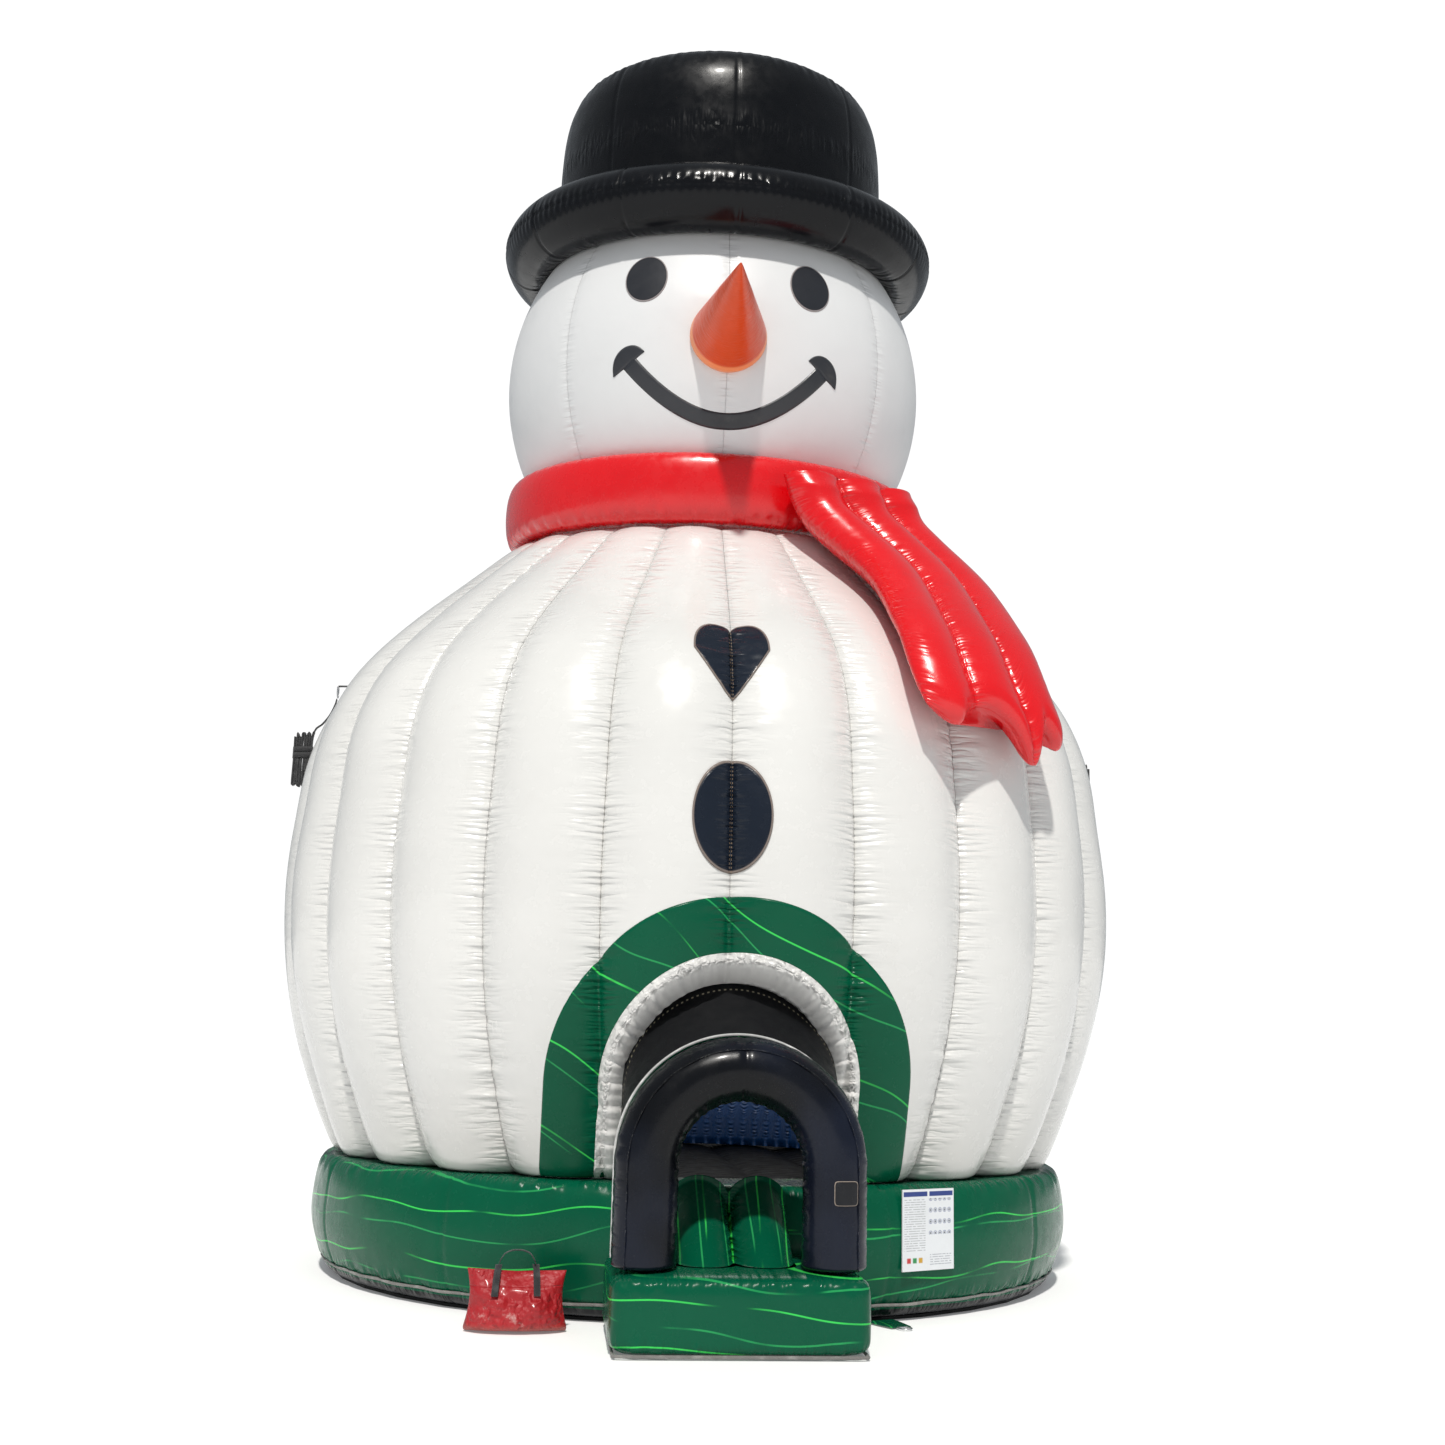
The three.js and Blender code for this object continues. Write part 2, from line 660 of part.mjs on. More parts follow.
const strapInner = sleeveRadius + gap;
const strapOuter = sleeveRadius + 9;
const strapRing = [[strapInner, 0], [strapOuter, 0], [strapOuter, 40], [strapInner, 40]];
const sleeveStrap = lathe(strapRing, 24)
  .rotateX(-Math.PI / 2)
  .translate(sleevePlace, blowerFront - 120, sleeveHeight);
add('sleeve_strap', sleeveStrap, '#2c2c2e', 0.8);

// The blower: a scroll housing on a base, with its wheel, motor, guard, handle and switch

const wheelPlace = blowerFront + 330;
const wheelHeight = 262;
const scrollRadius = 220;
const housingHalf = 150;
const housingWall = 8;
const ductHalf = 135;
const collarRadius = sleeveInner - gap;
const collarReach = 80;
const shaftRadius = 8;
const inletRadius = 110;

// A cylinder whose axis lies along X, from one place to another.
function axle(radius, from, to, sides = 20) {
  const geometry = new THREE.CylinderGeometry(radius, radius, to - from, sides);
  return geometry.rotateZ(Math.PI / 2).translate(sleevePlace + (from + to) / 2, wheelPlace, wheelHeight);
}

function ductBox(inset, front) {
  const size = 2 * (ductHalf - inset);
  const box = new THREE.BoxGeometry(size, wheelPlace - front, size);
  return box.translate(sleevePlace, (wheelPlace + front) / 2, sleeveHeight);
}

function mouth(radius, from, to) {
  const tube = new THREE.CylinderGeometry(radius, radius, to - from, 24);
  return tube.translate(sleevePlace, (from + to) / 2, sleeveHeight);
}

const housing = solid(axle(scrollRadius, -housingHalf, housingHalf))
  .add(solid(ductBox(0, blowerFront + gap)))
  .add(solid(mouth(collarRadius, blowerFront - collarReach, blowerFront + 20)))
  .subtract(solid(axle(scrollRadius - housingWall, housingWall - housingHalf, housingHalf - housingWall)))
  .subtract(solid(ductBox(housingWall, blowerFront + housingWall)))
  .subtract(solid(mouth(collarRadius - housingWall, blowerFront - 200, blowerFront + 40)))
  .subtract(solid(axle(inletRadius, 0, 200)))
  .subtract(solid(axle(shaftRadius + 2, -200, 0, 12)));
const handle = solid(bandLoop(28, 80, 60, 12).rotateZ(Math.PI / 2));
const handled = housing.add(handle.translate([sleevePlace, wheelPlace, wheelHeight + scrollRadius - 16]));
add('blower_housing', surface(handled), '#c8a11e', 0.45);

const bladeCount = 10;
let wheel = solid(axle(165, -70, -62)).add(solid(axle(shaftRadius, -200, -60, 12)));
for (let i = 0; i < bladeCount; i += 1) {
  const blade = new THREE.BoxGeometry(140, 6, 40).translate(5, 0, 140);
  blade.rotateX((2 * Math.PI * i) / bladeCount).translate(sleevePlace, wheelPlace, wheelHeight);
  wheel = wheel.add(solid(blade));
}
add('blower_wheel', surface(wheel), '#3b3d40', 0.5);

const motor = solid(axle(75, -290, -housingHalf - gap))
  .subtract(solid(axle(shaftRadius + 1, -205, 0, 12)));
add('blower_motor', surface(motor), '#2b2d30', 0.4, 0.6);

let guard = solid(axle(inletRadius + 20, housingHalf + gap, housingHalf + 6))
  .subtract(solid(axle(inletRadius - 8, 0, 300)));
for (const turn of [0, 1, 2]) {
  const bar = new THREE.BoxGeometry(5, 2 * inletRadius, 8).rotateX((turn * Math.PI) / 3);
  guard = guard.add(solid(bar.translate(sleevePlace + housingHalf + 3.2, wheelPlace, wheelHeight)));
}
add('blower_guard', surface(guard), '#2b2d30', 0.4, 0.6);

let stand = solid(new THREE.BoxGeometry(340, 380, 10).translate(sleevePlace, wheelPlace, 23));
for (const x of [-150, 150]) {
  const rail = new THREE.BoxGeometry(20, 380, 62);
  stand = stand.add(solid(rail.translate(sleevePlace + x * 0.8, wheelPlace, 58)));
  for (const y of [-170, 170]) {
    const foot = new THREE.CylinderGeometry(16, 16, 20, 10).rotateX(Math.PI / 2);
    stand = stand.add(solid(foot.translate(sleevePlace + x, wheelPlace + y, 10.2)));
  }
}
add('blower_stand', surface(stand.subtract(solid(axle(scrollRadius + gap, -400, 400)))), '#202226', 0.6);

const switchPlace = blowerFront + 70;
const ductTop = sleeveHeight + ductHalf;
const rocker = new THREE.BoxGeometry(22, 32, 8).translate(sleevePlace, switchPlace, ductTop + 8);
add('blower_rocker', rocker, '#15161a', 0.4);

const gland = [[0, 0], [16, 0], [16, 12], [9, 30], [0, 30]];
const glandPlace = sleevePlace + ductHalf + gap;
const cordGland = lathe(gland, 12)
  .rotateY(Math.PI / 2)
  .translate(glandPlace, blowerFront + 60, sleeveHeight);
add('blower_cord_gland', cordGland, '#15161a', 0.6);

// Deflation zip at the back of the base wall: tape, slider and cover flap

function onWall(geometry) {
  return geometry.translate(0, -2689, 0).rotateZ(zipAngle);
}
const zipHeight = 400;
add('zip_tape', onWall(new THREE.BoxGeometry(560, 4, 80).translate(0, -3, zipHeight)), black, 0.8);
const slider = new THREE.BoxGeometry(36, 10, 26).translate(230, -11, zipHeight);
add('zip_slider', onWall(slider), '#9a9ea3', 0.3, 0.9);

const flapOutline = new THREE.Shape();
const flapPoints = [[0, 0], [-24, 0], [-28, -4], [-28, -130], [-24, -130], [-24, -6], [0, -5]];
flapPoints.forEach(([y, z], i) => (i === 0 ? flapOutline.moveTo(y, z) : flapOutline.lineTo(y, z)));
const flap = new THREE.ExtrudeGeometry(flapOutline, { depth: 580, bevelEnabled: false });
flap.rotateX(Math.PI / 2).rotateZ(Math.PI / 2).translate(-290, -3, zipHeight + 52);
add('zip_flap', onWall(flap), green, 0.5);

export default object;
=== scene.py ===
import math
import bpy
import bmesh
import numpy as np
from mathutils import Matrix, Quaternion, Vector


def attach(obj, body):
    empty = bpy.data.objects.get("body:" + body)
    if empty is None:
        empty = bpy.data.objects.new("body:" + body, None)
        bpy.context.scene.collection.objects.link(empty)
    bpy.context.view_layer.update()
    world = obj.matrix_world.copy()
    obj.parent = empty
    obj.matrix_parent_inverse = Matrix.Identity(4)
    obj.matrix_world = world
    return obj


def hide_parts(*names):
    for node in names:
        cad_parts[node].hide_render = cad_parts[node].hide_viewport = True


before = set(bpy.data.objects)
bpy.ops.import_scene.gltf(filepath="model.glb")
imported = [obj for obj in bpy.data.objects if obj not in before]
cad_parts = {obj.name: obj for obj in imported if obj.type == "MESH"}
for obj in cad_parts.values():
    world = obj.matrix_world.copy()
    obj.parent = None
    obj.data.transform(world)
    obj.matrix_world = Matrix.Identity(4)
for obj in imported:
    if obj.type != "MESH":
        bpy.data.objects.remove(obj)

scene = bpy.context.scene
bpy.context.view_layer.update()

# --------------------------------------------------------------------------------------------
# Camera: a person's eye height in front of the doorway, a little to its left, looking up at the
# giant figure with a moderate wide lens.
# --------------------------------------------------------------------------------------------
stand_off = 12.37
stand_turn = math.radians(-4.8)
eye_height = 1.645
look_turn = math.radians(5.55)
look_up = math.radians(11.0)
hand_tilt = math.radians(1.4)

camera_data = bpy.data.cameras.new("camera")
camera_data.sensor_width = 36.0
camera_data.lens = 40.2
camera_data.clip_end = 400.0
camera = bpy.data.objects.new("camera", camera_data)
scene.collection.objects.link(camera)
gaze = Vector((math.sin(look_turn) * math.cos(look_up), math.cos(look_turn) * math.cos(look_up),
               math.sin(look_up)))
camera.location = (stand_off * math.sin(stand_turn), -stand_off * math.cos(stand_turn), eye_height)
camera.rotation_mode = "QUATERNION"
camera.rotation_quaternion = gaze.to_track_quat("-Z", "Y") @ Quaternion((0, 0, 1), hand_tilt)
scene.camera = camera

# Floor and light: a plain pale studio floor, an even pale sky and one clear key light high in
# front, which gives each gore its long highlight. A dim lamp inside the body stands for the
# daylight that comes through its thin white cloth.
world = bpy.data.worlds.new("studio")
world.use_nodes = True
sky = world.node_tree.nodes["Background"]
sky.inputs["Color"].default_value = (0.86, 0.93, 1.0, 1)
sky.inputs["Strength"].default_value = 0.34
backdrop = world.node_tree.nodes.new("ShaderNodeBackground")
backdrop.inputs["Color"].default_value = (1.0, 1.0, 1.0, 1)
backdrop.inputs["Strength"].default_value = 1.05
seen = world.node_tree.nodes.new("ShaderNodeLightPath")
choice = world.node_tree.nodes.new("ShaderNodeMixShader")
world.node_tree.links.new(seen.outputs["Is Camera Ray"], choice.inputs["Fac"])
world.node_tree.links.new(sky.outputs[0], choice.inputs[1])
world.node_tree.links.new(backdrop.outputs[0], choice.inputs[2])
world.node_tree.links.new(choice.outputs[0],
                          world.node_tree.nodes["World Output"].inputs["Surface"])
scene.world = world
scene.view_settings.view_transform = "Standard"

key_data = bpy.data.lights.new("key", "SUN")
key_data.energy = 3.0
key_data.angle = math.radians(2.5)
key_data.color = (1.0, 0.97, 0.92)
key = bpy.data.objects.new("key", key_data)
key.rotation_euler = Vector((0.10, 0.72, -0.95)).to_track_quat("-Z", "Y").to_euler()
scene.collection.objects.link(key)

glow_data = bpy.data.lights.new("room_glow", "POINT")
glow_data.energy = 45
glow_data.shadow_soft_size = 0.8
glow = bpy.data.objects.new("room_glow", glow_data)
glow.location = (0.0, 0.8, 3.2)
scene.collection.objects.link(glow)

floor_mesh = bpy.data.meshes.new("studio_floor")
floor_mesh.from_pydata([(-150, -150, -0.004), (150, -150, -0.004), (150, 150, -0.004),
                        (-150, 150, -0.004)], [], [(0, 1, 2, 3)])
floor = bpy.data.objects.new("studio_floor", floor_mesh)
scene.collection.objects.link(floor)
floor_paint = bpy.data.materials.new("pale_floor")
floor_paint.use_nodes = True
floor_shader = floor_paint.node_tree.nodes["Principled BSDF"]
for name, value in (("Base Color", (0.93, 0.93, 0.93, 1)), ("Roughness", 0.9),
                    ("Emission Color", (1, 1, 1, 1)), ("Emission Strength", 0.14)):
    floor_shader.inputs[name].default_value = value
floor_mesh.materials.append(floor_paint)

# --------------------------------------------------------------------------------------------
# Upper tethers: black 50 mm polyester webbing. On each side it loops through a steel ring high on
# the body, and the spare length is folded to and fro into a hank with a turn of webbing round it.
# --------------------------------------------------------------------------------------------
class Finish:
    """A material in the making: every method adds one node and returns its output."""

    def __init__(self, name, colour, rough, metal=0.0, sheen=0.0, coat=0.0):
        self.material = bpy.data.materials.new(name)
        self.material.use_nodes = True
        self.tree = self.material.node_tree
        self.shader = self.tree.nodes["Principled BSDF"]
        self.shader.inputs["Base Color"].default_value = (*colour, 1)
        self.shader.inputs["Roughness"].default_value = rough
        self.shader.inputs["Metallic"].default_value = metal
        self.shader.inputs["Sheen Weight"].default_value = sheen
        self.shader.inputs["Coat Weight"].default_value = coat
        self.shader.inputs["Coat Roughness"].default_value = 0.12
        where = self.tree.nodes.new("ShaderNodeTexCoord")
        self.place, self.map = where.outputs["Object"], where.outputs["UV"]
        self.heights = []

    def feed(self, socket, value):
        if isinstance(value, bpy.types.NodeSocket):
            self.tree.links.new(value, socket)
        elif isinstance(value, tuple) and len(value) == 3 and socket.type == "RGBA":
            socket.default_value = (*value, 1)
        else:
            socket.default_value = value

    def sum(self, operation, a, b=0.0, c=0.0):
        node = self.tree.nodes.new("ShaderNodeMath")
        node.operation = operation
        for socket, value in zip(node.inputs, (a, b, c)):
            self.feed(socket, value)
        return node.outputs[0]

    def parts(self, vector):
        node = self.tree.nodes.new("ShaderNodeSeparateXYZ")
        self.feed(node.inputs[0], vector)
        return node.outputs[0], node.outputs[1], node.outputs[2]

    def point(self, x, y, z=0.0):
        node = self.tree.nodes.new("ShaderNodeCombineXYZ")
        for socket, value in zip(node.inputs, (x, y, z)):
            self.feed(socket, value)
        return node.outputs[0]

    def noise(self, vector, scale, detail=3.0, rough=0.5):
        node = self.tree.nodes.new("ShaderNodeTexNoise")
        self.feed(node.inputs["Vector"], vector)
        node.inputs["Scale"].default_value = scale
        node.inputs["Detail"].default_value = detail
        node.inputs["Roughness"].default_value = rough
        return node.outputs["Fac"]

    def step(self, value, low, high, out_low=0.0, out_high=1.0):
        """A smooth step from low to high, given as out_low to out_high."""
        node = self.tree.nodes.new("ShaderNodeMapRange")
        node.interpolation_type = "SMOOTHSTEP"
        for name, v in (("Value", value), ("From Min", low), ("From Max", high),
                        ("To Min", out_low), ("To Max", out_high)):
            self.feed(node.inputs[name], v)
        return node.outputs[0]

    def blend(self, share, a, b):
        node = self.tree.nodes.new("ShaderNodeMix")
        node.data_type = "RGBA"
        self.feed(node.inputs["Factor"], share)
        self.feed(node.inputs["A"], a)
        self.feed(node.inputs["B"], b)
        return node.outputs["Result"]

    def relief(self, height, distance, strength=1.0):
        """Stacks one more layer of bump, distance in metres."""
        node = self.tree.nodes.new("ShaderNodeBump")
        node.inputs["Distance"].default_value = distance
        node.inputs["Strength"].default_value = strength
        self.feed(node.inputs["Height"], height)
        if self.heights:
            self.tree.links.new(self.heights[-1], node.inputs["Normal"])
        self.heights.append(node.outputs[0])
        self.feed(self.shader.inputs["Normal"], node.outputs[0])

    def set(self, name, value):
        self.feed(self.shader.inputs[name], value)

    def paint(self, share, colour):
        """Lays a colour over the base colour by a share."""
        self.base = self.blend(share, self.base, colour)
        self.set("Base Color", self.base)

    def times(self, a, b):
        return self.sum("MULTIPLY", a, b)

    def off(self, value, middle):
        """How far a value lies from a middle one."""
        return self.sum("ABSOLUTE", self.sum("SUBTRACT", value, middle))

    def wave(self, value, rate):
        return self.sum("SINE", self.sum("MULTIPLY", value, rate))


def circle(count):
    """Even angles round a full turn."""
    return np.linspace(0, 2 * np.pi, count, endpoint=False)


def join(*parts):
    """Coordinates side by side as points; single numbers spread over the others."""
    return np.stack(np.broadcast_arrays(*parts), -1)


def grid_faces(rows, columns, round_rows):
    """Quads between neighbouring grid points: the columns close to a ring, and so may the rows."""
    i = np.arange(rows if round_rows else rows - 1)
    j = np.arange(columns)
    i, j = np.meshgrid(i, j, indexing="ij")
    i2, j2 = (i + 1) % rows, (j + 1) % columns
    corners = np.stack([i * columns + j, i * columns + j2, i2 * columns + j2, i2 * columns + j], -1)
    spread = np.stack([join(j, i), join(j + 1, i), join(j + 1, i + 1), join(j, i + 1)], -2)
    return corners.reshape(-1, 4), spread.reshape(-1, 4, 2).astype(float)


def skin(name, grids, finish, replaces=(), body="snowman", measure=(1.0, 1.0), ring=False,
         smooth=True):
    """A closed skin from grids of points, each (rows, columns, 3): the columns run round the piece
    and the rows along it. Open ends get a fan to their middle. The map holds metres: measure is
    the width round the columns and the length along the rows."""
    if isinstance(grids, np.ndarray):
        grids = [grids]
    points, quads, spreads, fans, fan_spreads, start = [], [], [], [], [], 0
    for grid in grids:
        rows, columns = grid.shape[:2]
        faces, spread = grid_faces(rows, columns, ring)
        scale = np.array([measure[0] / columns, measure[1] / max(rows - 1, 1)])
        points.append(grid.reshape(-1, 3))
        quads.append(faces + start)
        spreads.append(spread * scale)
        start += rows * columns
        if not ring:
            for row, turn in ((0, 1), (rows - 1, -1)):
                points.append(grid[row].mean(0)[None])
                j = np.arange(columns)
                first = start - (rows * columns if row == 0 else rows * columns + 1) + row * columns
                a, b = first + j, first + (j + 1) % columns
                fan = np.stack([np.full(columns, start), b, a]
                               if turn > 0 else [np.full(columns, start), a, b], -1)
                fans.append(fan)
                at = np.full((columns, 3, 2), row, float)
                at[:, 0, 0], at[:, 1, 0], at[:, 2, 0] = j + 0.5, j + 1, j
                if turn < 0:
                    at[:, 1, 0], at[:, 2, 0] = j, j + 1
                fan_spreads.append(at * scale)
                start += 1
    points = np.concatenate(points)
    quads = np.concatenate(quads)
    spreads = np.concatenate(spreads)
    fans = np.concatenate(fans) if fans else np.zeros((0, 3), int)
    fan_spreads = np.concatenate(fan_spreads) if len(fan_spreads) else np.zeros((0, 3, 2))
    mesh = bpy.data.meshes.new(name)
    mesh.vertices.add(len(points))
    mesh.vertices.foreach_set("co", points.astype(np.float32).ravel())
    mesh.loops.add(quads.size + fans.size)
    mesh.loops.foreach_set("vertex_index", np.concatenate([quads.ravel(),
                                                           fans.ravel()]).astype(np.int32))
    mesh.polygons.add(len(quads) + len(fans))
    starts = np.concatenate([np.arange(len(quads)) * 4, quads.size + np.arange(len(fans)) * 3])
    mesh.polygons.foreach_set("loop_start", starts.astype(np.int32))
    mesh.update(calc_edges=True)
    laid = mesh.uv_layers.new(name="laid")
    laid.data.foreach_set("uv", np.concatenate([spreads.ravel(),
                                                fan_spreads.ravel()]).astype(np.float32))
    mesh.polygons.foreach_set("use_smooth", np.full(len(mesh.polygons), smooth))
    turned = bmesh.new()
    turned.from_mesh(mesh)
    bmesh.ops.recalc_face_normals(turned, faces=turned.faces)
    turned.to_mesh(mesh)
    turned.free()
    mesh.validate()
    mesh.materials.append(finish.material)
    piece = bpy.data.objects.new(name, mesh)
    scene.collection.objects.link(piece)
    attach(piece, body)
    if replaces:
        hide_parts(*replaces)
    return piece


def curve_through(marks, count):
    """A smooth line through the marks (uniform Catmull-Rom, as a bent batten lies), cut into
    count points at equal steps along its length."""
    marks = np.asarray(marks, float)
    p = np.vstack([2 * marks[0] - marks[1], marks, 2 * marks[-1] - marks[-2]])
    t = np.linspace(0, len(marks) - 1 - 1e-9, 40 * len(marks))
    k = t.astype(int)
    f = (t - k)[:, None]
    a, b, c, d = p[k], p[k + 1], p[k + 2], p[k + 3]
    line = 0.5 * (2 * b + (c - a) * f + (2 * a - 5 * b + 4 * c - d) * f ** 2
                  + (3 * b - a - 3 * c + d) * f ** 3)
    far = np.concatenate([[0], np.cumsum(np.linalg.norm(np.diff(line, axis=0), axis=1))])
    even = np.linspace(0, far[-1], count)
    return np.stack([np.interp(even, far, line[:, i]) for i in range(line.shape[1])], -1)


def strip(path, across, width, thick):
    """A flat band carried along a path: at each point a rounded oblong, width along the across
    direction and thick along the path's normal (tangent times across)."""
    tangent = np.gradient(path, axis=0)
    tangent /= np.linalg.norm(tangent, axis=1)[:, None]
    across = np.broadcast_to(np.asarray(across, float), path.shape)
    normal = np.cross(tangent, across)
    normal /= np.linalg.norm(normal, axis=1)[:, None]
    edge = np.array([[0.5, 0.2], [0.47, 0.5], [-0.47, 0.5], [-0.5, 0.2], [-0.5, -0.2],
                     [-0.47, -0.5], [0.47, -0.5], [0.5, -0.2]])
    thick = np.broadcast_to(thick, (len(path),))[:, None, None]
    return (path[:, None] + edge[None, :, :1] * width * across[:, None]
            + edge[None, :, 1:] * thick * normal[:, None])


def woven(name, colour, ribs=900.0):
    """Webbing: fine ribs across and threads along, from the map in metres, with faded patches."""
    look = Finish(name, colour, 0.62, sheen=0.25)
    u, v, _ = look.parts(look.map)
    threads = look.sum("SINE", look.times(u, ribs * 6.28))
    picks = look.sum("SINE", look.times(v, ribs * 2.6))
    look.relief(look.times(threads, picks), 0.0006)
    fade = look.noise(look.place, 14, 4)
    look.set("Base Color", look.blend(look.step(fade, 0.45, 0.75), colour,
                                      tuple(0.04 + 1.5 * c for c in colour)))
    look.set("Roughness", look.step(fade, 0.3, 0.8, 0.5, 0.8))
    return look


tether_webbing = woven("tether_webbing", (0.014, 0.014, 0.016))
webbing_width = 0.050
webbing_thick = 0.0045
ring_reach = 2.800
hank_top = 3.825
hank_bottom = 3.405
hank_runs = 8
hank_pitch = 0.018


def tether_route(side):
    """The webbing's middle line: down from the ring in a slack curve, then to and fro in runs
    18 mm apart whose folds are half circles and whose ends are staggered by a few centimetres.
    The runs are doubled webbing, so they are thicker than the single drop."""
    marks = [(ring_reach + 0.004, 4.104), (ring_reach + 0.016, 4.055), (ring_reach + 0.05, 3.975),
             (ring_reach + 0.10, 3.905), (ring_reach + 0.145, 3.865)]
    x = ring_reach + 0.167
    for run in range(hank_runs):
        stagger = 0.016 * math.sin(2.3 * run)
        top = hank_top - 0.02 + stagger - (0.02 if run == 0 else 0.0)
        bottom = hank_bottom + 0.03 + abs(stagger)
        heights = (top, 0.5 * (top + bottom), bottom) if run % 2 == 0 else (bottom,
                                                                            0.5 * (top + bottom),
                                                                            top)
        lean_out = 0.003 * math.sin(1.7 * run)
        marks += [(x, heights[0]), (x + lean_out, heights[1]), (x, heights[2])]
        if run < hank_runs - 1:
            marks.append((x + hank_pitch / 2, heights[2] + (-0.012 if run % 2 == 0 else 0.012)))
        x += hank_pitch
    flat = curve_through(marks, 420)
    thick = np.where(flat[:, 0] > ring_reach + 0.155, 0.0125, webbing_thick)
    return join(side * flat[:, 0], 0.0, flat[:, 1]), thick


for side, word in ((-1, "left"), (1, "right")):
    route, thick = tether_route(side)
    tether = skin(f"tether_{word}", strip(route, (0, 1, 0), webbing_width, thick), tether_webbing,
                  (f"tether_strap_{word}", f"tether_hank_{word}"), body=f"{word}_tether",
                  measure=(0.1, 4.0))
    turn = circle(48)
    middle = side * (ring_reach + 0.167 + hank_pitch * 3.5)
    band = join(middle + 0.074 * np.sign(np.cos(turn)) * np.abs(np.cos(turn)) ** 0.45,
                0.031 * np.sign(np.sin(turn)) * np.abs(np.sin(turn)) ** 0.6,
                3.66 + 0.006 * np.cos(turn))
    ties = []
    for lift in (0.0, 0.045):
        loop = np.stack([band + [0, 0, lift - 0.02], band + [0, 0, lift + 0.02],
                         (band - [middle, 0, 0]) * [0.955, 0.9, 1] + [middle, 0, lift + 0.02],
                         (band - [middle, 0, 0]) * [0.955, 0.9, 1] + [middle, 0, lift - 0.02]], 1)
        ties.append(loop)
    tie = skin(f"tether_tie_{word}", ties, tether_webbing, body=f"{word}_tether",
               measure=(0.1, 0.4), ring=True)

# --------------------------------------------------------------------------------------------
# Steel rings: welded D-rings of 10 mm zinc-plated wire, one high on each side and one at the
# ground tab. Each turns on its straight bar in a folded webbing tab sewn to the skin.
# --------------------------------------------------------------------------------------------
def wire(path, axis, radius, sides=16, ends=False):
    """Round wire along a path that lies in one plane: circles in the plane of the path's
    sideways direction and the plane's own axis."""
    before, after = np.roll(path, 1, 0), np.roll(path, -1, 0)
    tangent = np.gradient(path, axis=0) if ends else after - before
    tangent /= np.linalg.norm(tangent, axis=1)[:, None]
    axis = np.broadcast_to(np.asarray(axis, float), path.shape)
    side = np.cross(tangent, axis)
    turn = circle(sides)
    radius = np.broadcast_to(radius, (len(path),))[:, None, None]
    return path[:, None] + radius * (np.cos(turn)[None, :, None] * side[:, None]
                                     + np.sin(turn)[None, :, None] * axis[:, None])


zinc = Finish("zinc_wire", (0.56, 0.57, 0.59), 0.32, metal=1.0)
grain = zinc.noise(zinc.place, 160, 4)
zinc.set("Roughness", zinc.step(grain, 0.3, 0.7, 0.24, 0.46))
zinc.relief(grain, 0.0004)


def d_outline(half, depth, wire_radius):
    """The ring's wire line, across and down from its bar: the bar, two straight legs and a half
    circle below, all kept a wire's radius inside."""
    inner = half - wire_radius
    low = -depth + half
    bow = np.linspace(0, -np.pi, 40)
    leg = np.linspace(-wire_radius, low, 12)[:-1]
    bar = np.linspace(-inner, inner, 12)[:-1]
    across = np.concatenate([bar, np.full(11, inner), inner * np.cos(bow), np.full(11, -inner)])
    down = np.concatenate([np.full(11, -wire_radius), leg, low + inner * np.sin(bow), leg[::-1]])
    return across, down


for side, word in ((-1, "left"), (1, "right")):
    across, down = d_outline(0.040, 0.090, 0.005)
    line = join(side * ring_reach, across, 4.200 + down)
    skin(f"ring_{word}", wire(line, (1, 0, 0), 0.005), zinc, (f"tether_ring_{word}",),
         body=f"{word}_tether", measure=(0.03, 0.3), ring=True)
    tab_line = curve_through([(side * 2.664, 4.2105), (side * 2.73, 4.2075), (side * 2.785, 4.2055),
                              (side * 2.797, 4.2035)], 30)
    tab_line = join(tab_line[:, 0], 0.0, tab_line[:, 1])
    skin(f"ring_tab_{word}", strip(tab_line, (0, 1, 0), webbing_width, 0.005), tether_webbing,
         (f"tether_tab_{word}",), measure=(0.1, 0.16))

anchor_turn = math.radians(22)
across, down = d_outline(0.042, 0.080, 0.005)
out = 2.793 - down
line = join(out * math.sin(anchor_turn) + across * math.cos(anchor_turn),
            -out * math.cos(anchor_turn) + across * math.sin(anchor_turn), 0.0065)
skin("ground_ring", wire(line, (0, 0, 1), 0.005), zinc, ("anchor_ring",),
     body="anchor_ring", measure=(0.03, 0.3), ring=True)

# --------------------------------------------------------------------------------------------
# Body wall: twenty-four tall gores of glossy white PVC-coated polyester, sewn edge to edge in
# pairs. Air swells each one out between its seams, and the cloth gathers into short puckers
# beside every seam. Baffles hold an inner skin, so the wall is an air chamber all round.
# --------------------------------------------------------------------------------------------
wall_line = np.array([(2.583, 0.800), (2.724, 1.120), (2.907, 1.620), (3.014, 2.120),
                      (3.043, 2.620), (3.006, 3.120), (2.934, 3.620), (2.717, 4.120),
                      (2.306, 4.620), (1.742, 5.120), (1.500, 5.300)])
gore_angle = 2 * math.pi / 24
gore_turn = math.radians(-1.05)
swell_share = 0.040


def bump(value, width, power=2):
    """A bell curve: one at nothing, fading over width."""
    return np.exp(-(value / width) ** power)


def smooth_step(value, low, high):
    share = np.clip((value - low) / (high - low), 0, 1)
    return share * share * (3 - 2 * share)


def lean(points):
    """The upper body bows forward: above 3.6 m a point turns about a level line at 4.4 m, by
    6 degrees times a smooth step that is whole at 5.2 m."""
    share = smooth_step(points[..., 2], 3.6, 5.2)
    bow = math.radians(6) * share
    rise = points[..., 2] - 4.4
    y = points[..., 1] * np.cos(bow) - rise * np.sin(bow)
    z = 4.4 + points[..., 1] * np.sin(bow) + rise * np.cos(bow)
    return join(points[..., 0], y, z)


